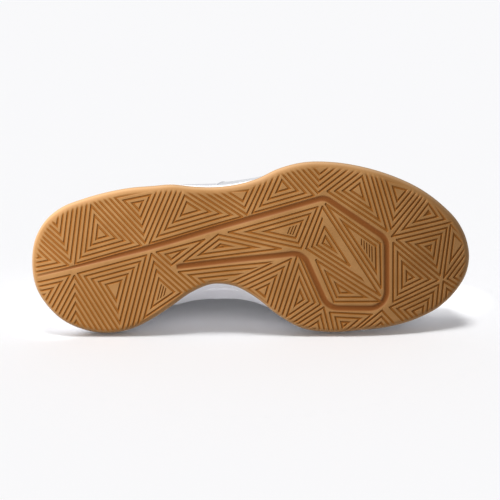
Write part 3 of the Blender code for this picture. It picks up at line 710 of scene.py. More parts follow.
def make_outsole():
    body = Body()
    flat, faces = tread_plan()
    rim = nearest(flat, FINE_EDGE)[0]
    depth, *shares = tread_depth(flat, rim)
    body.add(flat, ground(flat[:, 0]) + edge_roll(rim) + depth)
    body.faces.extend(faces[:, ::-1].tolist())
    ring = border_loop(faces)
    round_edge = np.append(stations(EDGE_STEPS), 2 * LAST_SECTION)
    around = np.interp(nearest(flat[ring], FINE_EDGE)[1], np.arange(len(round_edge)), round_edge)
    around %= 2 * LAST_SECTION
    rings = [ring]
    for inset in ROLL_INSETS:
        spots = at_inset(around, inset)
        rings.append(body.add(spots, ground(spots[:, 0]) + edge_roll(inset)))
    for inset, under in LIP_PROFILE:
        spots = at_inset(around, inset)
        rings.append(body.add(spots, rubber_top(spots[:, 0], inset) - under))
    body.skin(rings)
    body.cap(rings[-1], lambda x: rubber_top(x, 2 * EDGE_ROLL), CAP_STEP)
    piece = body.make("gum_outsole", [gum_finish()], sharp=28.0)
    # Paler towards the rim, and fully so on the rolled edge, lip and cap: a painted highlight.
    shares.append(eased(1 - rim / LIP_HIGHLIGHT_WIDTH))
    # groove and channel carry painted shade into the gum's colour, and lip a painted highlight.
    for name, share, beyond in zip(("groove", "channel", "lip"), shares, (0.0, 0.0, 1.0)):
        mark(piece, name, np.append(share, np.full(len(body.points) - len(share), beyond)))
    return piece


outsole = make_outsole()
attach(outsole, "root")
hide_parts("outsole")

# Midsole
# White moulded foam between the outsole and the upper. Its wall flares out over the waist of
# the rubber, one shallow channel runs round it, and the upper is cemented on its flat rim.
GAP = 0.3
SEAT = 1.2
RIM_FLAT = 5.0
BED_INSET = 7.0
BED_HEEL = 26.0
BED_FOREFOOT = 17.0
BED_DROP_FROM = 70.0
BED_DROP_TO = 200.0
WALL = np.array([
    # up, run, carve
    (0.00, 0.00, 0.0),
    (0.07, 0.00, -0.7),
    (0.30, 0.08, -0.6),
    (0.37, 0.14, 1.1),
    (0.44, 0.20, 1.1),
    (0.52, 0.28, -0.5),
    (0.82, 0.70, -0.8),
    (0.95, 0.92, -0.3),
    (1.00, 1.05, 0.0),
])
WALL_ROWS = 4
MIDSOLE_STEPS = 220
FOAM_WHITE = (0.87, 0.87, 0.91)
FOAM_SHADE = (0.82, 0.82, 0.87)
FOAM_ROUGH = 0.42


def smooth(xs, ys, x, level_ends=True):
    """Values at x of the smooth curve through two table columns, without overshoot."""
    x = np.clip(x, xs[0], xs[-1])
    steps = np.diff(xs)
    rates = np.diff(ys) / steps
    before, after = rates[:-1], rates[1:]
    near, far = 2 * steps[1:] + steps[:-1], steps[1:] + 2 * steps[:-1]
    same = before * after > 0
    mean = near / np.where(same, before, 1) + far / np.where(same, after, 1)
    slopes = np.zeros(len(xs))
    slopes[1:-1] = np.where(same, (near + far) / np.where(same, mean, 1), 0)
    if not level_ends:
        slopes[0], slopes[-1] = rates[0], rates[-1]
    i = np.clip(np.searchsorted(xs, x, side="right") - 1, 0, len(xs) - 2)
    f = (x - xs[i]) / steps[i]
    ends = ys[i] * (1 + 2 * f) * (1 - f) ** 2 + ys[i + 1] * f * f * (3 - 2 * f)
    return ends + steps[i] * (slopes[i] * f * (1 - f) ** 2 + slopes[i + 1] * f * f * (f - 1))


def section_at(station):
    """The section's number at stations, counted from the heel on either side."""
    return np.where(station <= LAST_SECTION, station, 2 * LAST_SECTION - station)


def section_value(station, column):
    """Values at stations of a column of the sole's table."""
    return smooth(np.arange(LAST_SECTION + 1.0), SECTIONS[:, column], section_at(station))


def rim_inset(station):
    """How far the midsole's rim stands inside the rubber's edge."""
    medial, lateral = (section_value(station, column) for column in (MEDIAL_IN, LATERAL_IN))
    return np.where(station <= LAST_SECTION, medial, lateral)


def rim_point(station, further_in, lift=0.0):
    """Points of the midsole's rim, so far inside its outer edge."""
    inset = rim_inset(station)
    edge_x = at_inset(station, inset)[..., :1]
    height = ground(edge_x) + section_value(station, RIM_UP)[..., None] + lift
    return np.concatenate((at_inset(station, inset + further_in), height), -1)


def bed(x):
    """Height of the foot bed."""
    forward = eased((x - BED_DROP_FROM) / (BED_DROP_TO - BED_DROP_FROM))
    return ground(x) + BED_HEEL + (BED_FOREFOOT - BED_HEEL) * forward


def foam_finish():
    material, wires, shader = new_finish("white_foam", {})
    skin = wires.noise(scale=1400.0, detail=2.0)
    clouds = wires.noise(scale=30.0, detail=3.0)
    clouds.band(0.3, 0.75).mix(FOAM_WHITE, FOAM_SHADE).into(shader["Base Color"])
    (FOAM_ROUGH + skin * 0.16).into(shader["Roughness"])
    (skin + clouds * 0.5).bump(strength=0.3, distance=0.0002).into(shader["Normal"])
    return material


def make_midsole():
    body = Body()
    around = stations(MIDSOLE_STEPS)
    rings = []
    for inset in (2 * EDGE_ROLL, EDGE_ROLL):
        spots = at_inset(around, inset)
        rings.append(body.add(spots, rubber_top(spots[:, 0], inset) + GAP))
    last = len(WALL) - 1
    rows = np.linspace(0, last, last * WALL_ROWS + 1)
    profile = [smooth(np.arange(last + 1.0), column, rows) for column in WALL.T]
    inset, rim = rim_inset(around), rim_point(around, 0.0)[:, 2]
    for up, run, carve in zip(*profile):
        spots = at_inset(around, SEAT + (inset - SEAT) * run + carve)
        foot = rubber_top(spots[:, 0], SEAT) + GAP
        rings.append(body.add(spots, foot + (rim - foot) * up))
    rings.append(body.add(rim_point(around, RIM_FLAT)))
    spots = at_inset(around, inset + BED_INSET)
    rings.append(body.add(spots, bed(spots[:, 0])))
    body.skin(rings)
    body.cap(rings[0], lambda x: rubber_top(x, 2 * EDGE_ROLL) + GAP, CAP_STEP)
    body.cap(rings[-1], bed, CAP_STEP)
    return body.make("foam_midsole", [foam_finish()], sharp=50.0)


midsole = make_midsole()
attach(midsole, "root")
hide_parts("midsole")

# Insole
# A thin foam pad under a woven sock cloth. It is cut to the shape of the foot bed, with a rounded
# upper edge, and laid in loose.
INSOLE_THICK = 4.0
INSOLE_CLEAR = 1.0
INSOLE_EDGE = [
    # further in, up
    (0.0, 0.0),
    (0.0, 2.8),
    (0.35, 3.6),
    (1.2, INSOLE_THICK),
]
INSOLE_STEPS = 160
INSOLE_TOP_STEP = 6.0
SOCK_PITCH = 1.1
SOCK_PALE = (0.62, 0.63, 0.66)
# The darker tone is painted shade between the threads.
SOCK_SHADE = (0.40, 0.41, 0.44)
CLOTH_ROUGH = 0.82
CLOTH_RELIEF = 0.0003


def weave(wires, pitch):
    """Height of a plain weave on the piece's own map, one thread to each pitch."""
    u, v = (along * (1 / pitch) for along in wires.uv())
    over = wires.maths("PINGPONG", wires.maths("FLOOR", u) + wires.maths("FLOOR", v), 1.0)
    warp = wires.maths("SINE", wires.maths("FRACT", u) * math.pi)
    weft = wires.maths("SINE", wires.maths("FRACT", v) * math.pi)
    return warp * over + weft * (1 - over)


def cloth_finish(name, pale, dark, pitch, relief=CLOTH_RELIEF):
    material, wires, shader = new_finish(name, {"Specular IOR Level": 0.2, "Sheen Weight": 0.25})
    thread = weave(wires, pitch)
    fuzz = wires.noise(scale=1100.0, detail=3.0)
    # Darker towards each thread's edges and between threads, where the weave dips: painted shade.
    (thread.band(0.15, 0.85) * (0.6 + fuzz * 0.6)).mix(dark, pale).into(shader["Base Color"])
    (CLOTH_ROUGH + fuzz * 0.14).into(shader["Roughness"])
    (thread + fuzz * 0.3).bump(strength=0.6, distance=relief).into(shader["Normal"])
    return material


def make_insole():
    body = Body()
    around = stations(INSOLE_STEPS)
    inset = rim_inset(around) + BED_INSET + INSOLE_CLEAR
    rings = []
    for further, up in INSOLE_EDGE:
        spots = at_inset(around, inset + further)
        rings.append(body.add(spots, bed(spots[:, 0]) + GAP + up))
    body.skin(rings)
    body.cap(rings[0], lambda x: bed(x) + GAP, CAP_STEP)
    body.cap(rings[-1], lambda x: bed(x) + GAP + INSOLE_THICK, INSOLE_TOP_STEP)
    sock = cloth_finish("sock_cloth", SOCK_PALE, SOCK_SHADE, SOCK_PITCH)
    return body.make("insole_pad", [sock], sharp=50.0, uv=body.points[:, :2])


insole = make_insole()
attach(insole, "root")
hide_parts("insole")

# Upper
# A last-shaped upper of white mesh with bonded synthetic overlays at the toe, eyestay, waist
# and heel. A padded collar and a textile lining are sewn in, and its foot is cemented on.
UPPER = np.array([
    # section, top_x, half_gap, middle, top_z, belly, rise, reach, drop
    (0.0, 14.0, 0.0, 3.0, 97.0, 4.5, 22.0, 2.0, 24.0),
    (1.0, 15.6, 12.5, 3.0, 96.6, 4.5, 22.0, 2.0, 23.5),
    (2.0, 20.0, 21.0, 3.0, 95.6, 4.3, 22.0, 2.2, 22.0),
    (3.0, 27.5, 26.6, 3.0, 92.6, 4.0, 22.0, 2.5, 20.0),
    (4.0, 38.0, 30.0, 2.9, 88.0, 3.6, 20.0, 3.0, 18.0),
    (5.0, 51.0, 32.0, 2.6, 84.2, 3.5, 18.0, 3.0, 18.0),
    (6.0, 65.0, 32.5, 1.5, 84.5, 3.5, 18.0, 3.5, 19.0),
    (7.0, 78.0, 31.5, 0.0, 89.0, 3.5, 20.0, 4.0, 20.0),
    (8.0, 90.0, 29.5, -1.5, 96.5, 3.8, 23.0, 5.5, 22.0),
    (9.0, 103.0, 25.0, -3.0, 106.5, 4.2, 27.0, 9.0, 20.0),
    (10.0, 116.0, 20.0, -4.0, 110.0, 5.0, 31.0, 12.0, 14.0),
    (11.0, 130.0, 17.5, -4.6, 105.5, 5.5, 33.0, 13.5, 10.0),
    (12.0, 144.0, 15.0, -5.0, 99.0, 6.0, 34.0, 15.0, 7.5),
    (13.0, 158.0, 12.8, -5.0, 92.0, 6.0, 34.0, 16.0, 6.0),
    (14.0, 173.0, 10.5, -5.0, 84.5, 6.0, 34.0, 18.0, 4.0),
    (14.6, 184.0, 8.0, -5.0, 79.0, 6.0, 32.0, 20.0, 2.5),
    (15.0, 190.0, 0.0, -5.0, 75.8, 6.0, 31.0, 22.0, 2.0),
    (16.0, 203.0, 0.0, -4.8, 70.5, 5.5, 27.0, 24.0, 2.6),
    (17.0, 215.0, 0.0, -4.2, 66.0, 5.0, 23.0, 24.0, 3.6),
    (18.0, 227.0, 0.0, -3.4, 62.2, 4.5, 20.0, 22.0, 4.0),
    (19.0, 236.0, 0.0, -2.6, 59.4, 4.0, 18.0, 19.0, 4.4),
    (20.0, 242.0, 0.0, -2.0, 57.6, 3.5, 16.5, 17.0, 4.8),
    (21.0, 245.0, 0.0, -1.7, 56.7, 3.2, 16.0, 16.0, 5.0),
    (22.0, 246.0, 0.0, -1.6, 56.4, 3.0, 16.0, 16.0, 5.0),
])
HALF_GAP_COLUMN = 2
THROAT_FOOT_SECTION = 15
THROAT_FOOT = SECTIONS[THROAT_FOOT_SECTION, 0]
THROAT_HEAD = 113.0
FEATHER_IN = 1.2
FEATHER_LEVEL = 0.2
NORMAL_TOP = 0.985
NORMAL_ALONG = 0.05
NORMAL_UP = 0.01
UPPER_WALL = 2.0
COLLAR_PAD = 7.0
COLLAR_PAD_FROM = 0.62
COLLAR_FRONT = 92.0
COLLAR_PAD_END = 116.0
COLLAR_ROLL = 0.35
COLLAR_STEPS = (0.15, 0.35, 0.5, 0.65, 0.85)
COLLAR_BACK = 0.96
COLLAR_MAP = 8.0
UPPER_COLUMNS = 220
OUTER_ROWS = 84
INNER_ROWS = 26
WALL_STEPS = 13
OVERLAY_LIFT = 0.7
OVERLAY_EDGE = 1.2
OVERLAY_NONE = -0.1
OVERLAY_FROM = 0.04
TOE_GUARD = np.array([
    # x, share of the wall that the overlay covers
    (196.0, 0.00),
    (212.0, 0.16),
    (236.0, 0.27),
    (262.0, 0.36),
    (290.0, 0.44),
])
HEEL_COUNTER = np.array([
    # x, share of the wall that the overlay covers
    (0.0, 0.62),
    (24.0, 0.56),
    (48.0, 0.36),
    (66.0, 0.16),
    (80.0, 0.00),
])
EYESTAY_WIDE = 17.0
EYESTAY_TOE = 9.0
EYESTAY_TOE_FROM = UPPER[14, 1]
EYESTAY_PAST_HEAD = 12.0
SADDLE = np.array([
    # share, x of its back edge, x of its front edge
    (0.0, 118.0, 158.0),
    (0.35, 124.0, 152.0),
    (0.7, 127.0, 148.0),
    (1.0, 124.0, 146.0),
])
VAMP_CREASES = [
    # x at the middle of the vamp, how far it sweeps back by the rim, depth
    (204.0, 14.0, 0.9),
    (214.0, 12.0, 1.1),
    (225.0, 10.0, 0.7),
]
CREASE_WIDE = 3.2
CREASE_FROM = 0.35
CREASE_OVER = 0.35
CREASE_RIDGE = 0.45
CREASE_RIDGE_AT = 1.6
MESH_HOLE_U = 2.9
MESH_HOLE_V = 2.3
MESH_WHITE = (0.86, 0.86, 0.885)
MESH_HOLE = (0.56, 0.56, 0.61)
OVERLAY_WHITE = (0.89, 0.89, 0.91)
ACCENT_GREY = (0.74, 0.75, 0.78)
MESH_ROUGH = 0.8
OVERLAY_SMOOTHER = 0.32
LINING_PITCH = 1.3
LINING_PALE = (0.60, 0.61, 0.64)
# The darker tone is painted shade between the threads.
LINING_SHADE = (0.36, 0.37, 0.40)


def upper_sizes(station):
    """The upper's sizes at stations, in the order of its table."""
    section = section_at(station)
    columns = range(1, UPPER.shape[1])
    return [smooth(UPPER[:, 0], UPPER[:, n], section, n != HALF_GAP_COLUMN) for n in columns]


def upper_point(station, share):
    """Outer face of the upper, from the rim (share 0) to its top edge (share 1)."""
    station, share = np.broadcast_arrays(np.asarray(station, float), share)
    top_x, half_gap, middle, top_z, belly, rise, reach, drop = upper_sizes(station)
    side = np.where(station <= LAST_SECTION, 1, -1)
    foot = rim_point(station, FEATHER_IN, GAP)
    top = np.stack((top_x, middle + side * half_gap, top_z), -1)
    out = (foot - top) * (1, 1, 0)
    out /= np.linalg.norm(out, axis=-1, keepdims=True)
    level = np.zeros_like(rise)
    swell = foot + out * belly[..., None] + np.stack((level, level, rise), -1)
    turn = top + out * reach[..., None] - np.stack((level, level, drop), -1)
    t = share[..., None]
    low = foot * (1 - t) ** 3 + swell * 3 * t * (1 - t) ** 2
    return low + turn * 3 * t**2 * (1 - t) + top * t**3


def upper_normal(station, share):
    """Outward direction of the upper, level along the rim so that its edge stands flat."""
    station, share = np.broadcast_arrays(np.asarray(station, float), np.minimum(share, NORMAL_TOP))
    after, before = ((station + step) % (2 * LAST_SECTION) for step in (NORMAL_ALONG, -NORMAL_ALONG))
    along = upper_point(after, share) - upper_point(before, share)
    high, low = (np.clip(share + step, 0, 1) for step in (NORMAL_UP, -NORMAL_UP))
    up = upper_point(station, high) - upper_point(station, low)
    normal = np.cross(up, along)
    normal[..., 2] *= eased(share / FEATHER_LEVEL)
    return normal / np.linalg.norm(normal, axis=-1, keepdims=True)


def wall_thickness(x, share):
    """The upper's wall, thicker in the padded collar."""
    padded = eased((share - COLLAR_PAD_FROM) / (1 - COLLAR_PAD_FROM))
    padded = padded * (1 - eased((x - COLLAR_FRONT) / (COLLAR_PAD_END - COLLAR_FRONT)))
    return UPPER_WALL + (COLLAR_PAD - UPPER_WALL) * padded


def overlay_depth(points, x, share, high):
    """How far, in millimetres, points of the upper lie inside the edge of an overlay, and how
    far inside the waist saddle. x is the section's place, high the length of its wall."""
    toe = (np.interp(x, *TOE_GUARD.T, left=OVERLAY_NONE) - share) * high
    heel = (np.interp(x, *HEEL_COUNTER.T, right=OVERLAY_NONE) - share) * high
    ahead = np.clip(points[..., 0] - EYESTAY_TOE_FROM, 0, None)
    side = (1 - share) * high
    eyestay = EYESTAY_WIDE - np.hypot(side, ahead * EYESTAY_WIDE / EYESTAY_TOE)
    eyestay = np.minimum(eyestay, points[..., 0] - THROAT_HEAD + EYESTAY_PAST_HEAD)
    back = np.interp(share, SADDLE[:, 0], SADDLE[:, 1])
    front = np.interp(share, SADDLE[:, 0], SADDLE[:, 2])
    saddle = np.minimum(x - back, front - x)
    return np.max((toe, heel, eyestay, saddle), axis=0), saddle


def covers(edge):
    """1 inside an overlay and 0 outside it, eased over its edge."""
    return eased(edge / OVERLAY_EDGE + 0.5)


def upper_relief(points, x, share, high):
    """How far the finished face stands out from the plain last shape."""
    edge = overlay_depth(points, x, share, high)[0]
    relief = OVERLAY_LIFT * covers(edge)
    for at, sweep, deep in VAMP_CREASES:
        away = (points[..., 0] - at + sweep * (1 - share) ** 2) / CREASE_WIDE
        reach = eased((share - CREASE_FROM) / CREASE_OVER)
        ridges = CREASE_RIDGE * np.exp(-((np.abs(away) - CREASE_RIDGE_AT) ** 2))
        relief = relief + deep * reach * (ridges - np.exp(-away * away))
    return relief * eased(share / OVERLAY_FROM)


def upper_finish():
    constants = {"Specular IOR Level": 0.3, "Sheen Weight": 0.1}
    material, wires, shader = new_finish("upper_white", constants)
    u, v = wires.uv()
    overlay, accent = wires.share("overlay"), wires.share("accent")
    row = v * (1 / MESH_HOLE_V)
    shift = wires.maths("PINGPONG", wires.maths("FLOOR", row), 1.0) * 0.5
    across = wires.maths("FRACT", u * (1 / MESH_HOLE_U) + shift) - 0.5
    up = wires.maths("FRACT", row) - 0.5
    hole = 1 - wires.maths("SQRT", across * across + up * up * 0.7).band(0.16, 0.36)
    hole = hole * (1 - overlay)
    grain = wires.noise(scale=1500.0, detail=3.0)
    clouds = wires.noise(scale=40.0, detail=3.0)
    knit = hole.mix(MESH_WHITE, MESH_HOLE)
    skin = (accent * (0.85 + clouds * 0.2)).mix(OVERLAY_WHITE, ACCENT_GREY)
    overlay.mix(knit, skin).into(shader["Base Color"])
    (MESH_ROUGH - overlay * OVERLAY_SMOOTHER + grain * 0.12).into(shader["Roughness"])
    height = (1 - hole) * (1 - overlay) + grain * 0.25 + clouds * 0.1
    height.bump(strength=0.5, distance=0.0004).into(shader["Normal"])
    return material


def upper_stations():
    """Stations of the upper's columns, with one exactly at the foot of the throat, and its number."""
    behind = round(UPPER_COLUMNS * THROAT_FOOT_SECTION / LAST_SECTION)
    medial = np.linspace(0, THROAT_FOOT_SECTION, behind + 1)
    ahead = np.linspace(THROAT_FOOT_SECTION, LAST_SECTION, UPPER_COLUMNS - behind + 1)
    medial = np.concatenate((medial, ahead[1:]))
    return np.concatenate((medial, 2 * LAST_SECTION - medial[-2:0:-1])), behind


def wall_height(station):
    """Length of the upper's wall from the rim up to its top edge."""
    steps = np.array([upper_point(station, t) for t in np.linspace(0, 1, WALL_STEPS)])
    return np.linalg.norm(np.diff(steps, axis=0), axis=-1).sum(0)


def section_x(station):
    """How far forward the sections at stations stand."""
    return np.interp(section_at(station), np.arange(LAST_SECTION + 1.0), SECTIONS[:, 0])


def upper_face(station, share, inner=False):
    """Points of the finished outer face of the upper, or of its lining."""
    station, share = np.broadcast_arrays(np.asarray(station, float), share)
    points, normals = upper_point(station, share), upper_normal(station, share)
    if inner:
        return points - normals * wall_thickness(points[..., 0], share)[..., None]
    relief = upper_relief(points, section_x(station), share, wall_height(station))
    return points + normals * relief[..., None]


def make_upper():
    """The outer face and the lining, joined along the rim and over the collar's edge. In front of
    the throat, columns of the lateral side that cross the middle share their partners' top points."""
    body = Body()
    around, behind = upper_stations()
    count = len(around)
    joined = np.arange(behind, count - behind + 1)
    partner = count - np.arange(count)
    crossing = (np.arange(count) > count // 2) & (np.arange(count) <= count - behind)
    shells, maps = [], []
    steps = np.linalg.norm(np.diff(upper_point(around, 0.5), axis=0), axis=1)
    lengths = np.append(0, steps[:UPPER_COLUMNS].cumsum())
    lengths = np.concatenate((lengths, lengths[-2:0:-1]))
    high = wall_height(around)
    for inner, rows in ((False, OUTER_ROWS), (True, INNER_ROWS)):
        rings = []
        for share in np.arange(rows) / rows:
            rings.append(body.add(upper_face(around, share, inner)))
            maps.append(np.column_stack((lengths, high * share)))
        top = upper_face(around, 1.0, inner)
        if inner:
            top[joined] = upper_point(around[joined], 1.0) - (0, 0, UPPER_WALL)
        numbers = body.add(top[~crossing])
        ring = np.empty(count, int)
        ring[~crossing] = numbers
        ring[crossing] = ring[partner[crossing]]
        rings.append(ring)
        maps.append(np.column_stack((lengths, high))[~crossing])
        shells.append(rings)
    outer, inner = shells
    body.skin(outer)
    body.bridge(inner[0], outer[0])
    free = np.setdiff1d(np.arange(count), joined)
    order = np.concatenate((free[free > count // 2], free[free < count // 2]))
    order = np.concatenate(((order[0] - 1,), order, (order[-1] + 1,)))
    out, back = body.points[outer[-1][order]], body.points[inner[-1][order]]
    up = upper_point(around[order], 1.0) - upper_point(around[order], COLLAR_BACK)
    up /= np.linalg.norm(up, axis=1, keepdims=True)
    bulge = np.linalg.norm(out - back, axis=1, keepdims=True)
    last = outer[-1][order]
    for f in COLLAR_STEPS:
        lift = up * bulge * COLLAR_ROLL * math.sqrt(4 * f * (1 - f))
        row = body.add((out * (1 - f) + back * f + lift)[1:-1])
        maps.append(np.column_stack((lengths, high + COLLAR_MAP * f))[order[1:-1]])
        row = np.concatenate((outer[-1][order[:1]], row, outer[-1][order[-1:]]))
        body.bridge(last, row, False)
        last = row
    lining_from = len(body.faces)
    body.bridge(last, inner[-1][order], False)
    for lower, upper in zip(inner, inner[1:]):
        body.bridge(upper, lower)
    lining = cloth_finish("lining_cloth", LINING_PALE, LINING_SHADE, LINING_PITCH)
    finishes, uv = [upper_finish(), lining], np.concatenate(maps)
    piece = body.make("upper_shell", finishes, sharp=60.0, uv=uv, second_from=lining_from)
    covered, waist = np.zeros((2, len(body.points)))
    for share, ring in zip(np.arange(OUTER_ROWS + 1) / OUTER_ROWS, outer):
        points = upper_point(around, share)
        edge, saddle = overlay_depth(points, section_x(around), np.full(count, share), high)
        covered[ring], waist[ring] = covers(edge), covers(saddle)
    mark(piece, "overlay", covered)
    mark(piece, "accent", waist)
    return piece


upper = make_upper()
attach(upper, "root")
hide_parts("upper")

# Stitching
# Lockstitch rows of white thread along the overlays and under the collar pad, sewn through the
# mesh before the upper is lasted.
STITCH_PITCH = 2.6
STITCH_LENGTH = 2.1
THREAD_RADIUS = 0.28
THREAD_SIDES = 6
STITCH_STEPS = 4
STITCH_ARC = [
    # along, in lengths of the stitch, and up, in radii of the thread
    (-0.5, -0.6),
    (0.0, 2.2),
    (0.5, -0.6),
]
SEAM_IN = 2.0
# x where a seam ends on both sides, and its points
TOE_SEAM = (214.0, 120)
HEEL_SEAM = (64.0, 60)
COLLAR_SEAM = (88.0, 80)
COLLAR_SEAM_DOWN = 19.0
# x from and to, and its points
EYESTAY_SEAM = (117.0, 184.0, 60)
EYESTAY_SEAM_DOWN = 2.2
# shares of the wall from and to, and its points
SADDLE_SEAM = (0.05, 0.76, 40)
THREAD_WHITE = (0.80, 0.80, 0.83)
THREAD_SHADE = (0.62, 0.62, 0.66)
THREAD_ROUGH = 0.55


def thread_finish(name, pale, dark):
    material, wires, shader = new_finish(name, {"Specular IOR Level": 0.3})
    strands = wires.noise(scale=2600.0, detail=2.0)
    strands.band(0.35, 0.65).mix(dark, pale).into(shader["Base Color"])
    (THREAD_ROUGH + strands * 0.25).into(shader["Roughness"])
    strands.bump(strength=0.4, distance=0.0001).into(shader["Normal"])
    return material


def instance_tree(name, sizes):
    """A new tree of Geometry Nodes: the tree, the wire of its input, and its inputs' identifiers."""
    tree = bpy.data.node_groups.new(name, "GeometryNodeTree")
    tree.interface.new_socket("Geometry", in_out="OUTPUT", socket_type="NodeSocketGeometry")
    kinds = {"Geometry": "Geometry"} | dict.fromkeys(sizes, "Float") | {"Finish": "Material"}
    inputs = {}
    for label, kind in kinds.items():
        socket = tree.interface.new_socket(label, in_out="INPUT", socket_type="NodeSocket" + kind)
        inputs[label] = socket.identifier
    return tree, Wire(tree).node("NodeGroupInput"), inputs


def turned(start, axis, pivot="AUTO", **inputs):
    """A turn that brings an axis into line with a direction, about the pivot axis."""
    settings = {"axis": axis, "pivot_axis": pivot}
    return start.node("FunctionNodeAlignRotationToVector", settings, inputs)


def facing_of(start):
    """The direction that is kept at each point of the path."""
    kind = {"data_type": "FLOAT_VECTOR"}
    return start.node("GeometryNodeInputNamedAttribute", kind, {"Name": "facing"})


def circle(start, sides, radius):
    """A round curve of so many points."""
    sizes = {"Resolution": sides, "Radius": radius}
    return start.node("GeometryNodeCurvePrimitiveCircle", None, sizes)


def round_wire(start, path, sides, radius):
    """A round wire or thread along a path."""
    drawn = {"Curve": path, "Profile Curve": circle(start, sides, radius), "Fill Caps": True}
    return start.node("GeometryNodeCurveToMesh", None, drawn)


def end_tree(start, points, shape, turn, finish):
    """Puts the shape on the points, makes it real and gives it its finish."""
    placed = {"Points": points, "Instance": shape, "Rotation": turn}
    placed = start.node("GeometryNodeInstanceOnPoints", None, placed)
    real = start.node("GeometryNodeRealizeInstances", None, {"Geometry": placed})
    done = start.node("GeometryNodeSetMaterial", None, {"Geometry": real, "Material": finish})
    start.node("NodeGroupOutput", None, {"Geometry": done})


def stitch_tree():
    """Stitches laid end to end along the edges of a mesh, each an arc of round thread."""
    tree, start, inputs = instance_tree("stitch_row", ("Pitch", "Length", "Radius"))
    pitch, length, radius, finish = (start.output(n) for n in (1, 2, 3, 4))
    path = start.node("GeometryNodeMeshToCurve", None, {"Mesh": start})
    even = {"Curve": path, "Length": pitch}
    even = start.node("GeometryNodeResampleCurve", {"mode": "LENGTH"}, even)
    arc = {"Resolution": STITCH_STEPS}
    for place, (along, up) in zip(("Start", "Middle", "End"), STITCH_ARC):
        offset = {"X": length * along, "Z": radius * up}
        arc[place] = start.node("ShaderNodeCombineXYZ", None, offset)
    arc = start.node("GeometryNodeCurveQuadraticBezier", None, arc)
    stitch = round_wire(start, arc, THREAD_SIDES, radius)
    tangent = start.node("GeometryNodeInputTangent")
    turn = turned(start, "X", Vector=tangent)
    turn = turned(start, "Z", "X", Rotation=turn, Vector=facing_of(start))
    end_tree(start, even, stitch, turn, finish)
    return tree, inputs


def grown(name, runs, tree, values):
    """A plain mesh of what a tree makes along runs of points, each given with their facings."""
    points, edges, facings = [], [], []
    for places, facing in runs:
        first = len(points)
        points.extend(lying(places).tolist())
        facings.extend((facing @ shoe_turn.T).tolist())
        edges.extend((n, n + 1) for n in range(first, len(points) - 1))
    mesh = bpy.data.meshes.new(name + "_path")
    mesh.from_pydata(points, edges, [])
    attribute = mesh.attributes.new("facing", "FLOAT_VECTOR", "POINT")
    attribute.data.foreach_set("vector", np.ravel(facings))
    path = in_scene(name + "_path", mesh)
    grow = path.modifiers.new("grow", "NODES")
    grow.node_group = tree[0]
    for size, value in values.items():
        grow[tree[1][size]] = value
    now = path.evaluated_get(bpy.context.evaluated_depsgraph_get())
    plain = bpy.data.meshes.new_from_object(now)
    bpy.data.objects.remove(path)
    plain.shade_smooth()
    return in_scene(name, plain)


def station_at(x, side):
    """Stations of the section x on the medial (1) or lateral (-1) side."""
    row = np.interp(x, SECTIONS[:, 0], np.arange(LAST_SECTION + 1.0))
    return row if side > 0 else 2 * LAST_SECTION - row


def on_upper(station, share):
    """Places on the upper and the directions that they face."""
    return upper_face(station, share), upper_normal(station, share)


def round_toe(x, count):
    """Stations from the section x on the medial side, round the toe, to the lateral side."""
    return np.linspace(station_at(x, 1), station_at(x, -1), count)


def round_heel(x, count):
    """Stations from the section x on the lateral side, round the heel, to the medial side."""
    lateral = np.linspace(station_at(x, -1), 2 * LAST_SECTION, count)
    return np.concatenate((lateral[:-1], np.linspace(0, station_at(x, 1), count)))


def seam_runs():
    """Where the upper is sewn."""
    runs = []
    overlays = (round_toe(*TOE_SEAM), TOE_GUARD), (round_heel(*HEEL_SEAM), HEEL_COUNTER)
    for around, overlay in overlays:
        edge = np.interp(section_x(around), *overlay.T)
        runs.append(on_upper(around, edge - SEAM_IN / wall_height(around)))
    around = round_heel(*COLLAR_SEAM)
    runs.append(on_upper(around, 1 - COLLAR_SEAM_DOWN / wall_height(around)))
    for side in (1, -1):
        around = station_at(np.linspace(*EYESTAY_SEAM), side)
        for down in (EYESTAY_SEAM_DOWN, EYESTAY_WIDE - SEAM_IN):
            runs.append(on_upper(around, 1 - down / wall_height(around)))
        share = np.linspace(*SADDLE_SEAM)
        for column, inward in ((1, SEAM_IN), (2, -SEAM_IN)):
            x = np.interp(share, SADDLE[:, 0], SADDLE[:, column]) + inward
            runs.append(on_upper(station_at(x, side), share))
    return runs


stitches = grown("upper_stitching", seam_runs(), stitch_tree(), {
    "Pitch": STITCH_PITCH * MILLIMETRE,
    "Length": STITCH_LENGTH * MILLIMETRE,
    "Radius": THREAD_RADIUS * MILLIMETRE,
    "Finish": thread_finish("sewing_thread", THREAD_WHITE, THREAD_SHADE),
})
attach(stitches, "root")

# Tongue
# A padded textile tongue, sewn in at the foot of the throat. It lies under the eyestay and
# stands up past its top. Two quilted channels run along it.
TONGUE_THICK = 4.5
TONGUE_UNDER = 0.9
TONGUE_CROWN = 2.0
TONGUE_CROWN_GAP = 12.0
TONGUE_TUCK = 0.20
TONGUE_TUCK_HEAD = 0.04
TONGUE_TUCK_OVER = 30.0
TONGUE_FOOT = 208.0
TONGUE_RISE = 26.0
TONGUE_LEAN = math.radians(52.0)
TONGUE_TOP_NARROW = 0.66
TONGUE_TOP_SHARES = (0.34, 0.67, 0.9, 1.0)
TONGUE_FOOT_EDGE = 0.88
TONGUE_EDGE_THIN = 0.15
TONGUE_END_THIN = 0.1
TONGUE_END_FROM = 0.95
TONGUE_END_OVER = 0.05
TONGUE_PUFF = 0.8
TONGUE_PUFF_FROM = 0.05
TONGUE_FADE = 0.1
TONGUE_CHANNEL = 0.36
TONGUE_CHANNEL_WIDE = 0.05
TONGUE_CHANNEL_FROM = 0.08
TONGUE_SEAM = 0.94
TONGUE_SEAM_WIDE = 0.008
TONGUE_SEAM_DEEP = 0.9
TONGUE_ROWS = 12
TONGUE_ALONG = 90
TONGUE_ACROSS = 41
TONGUE_PITCH = 1.5
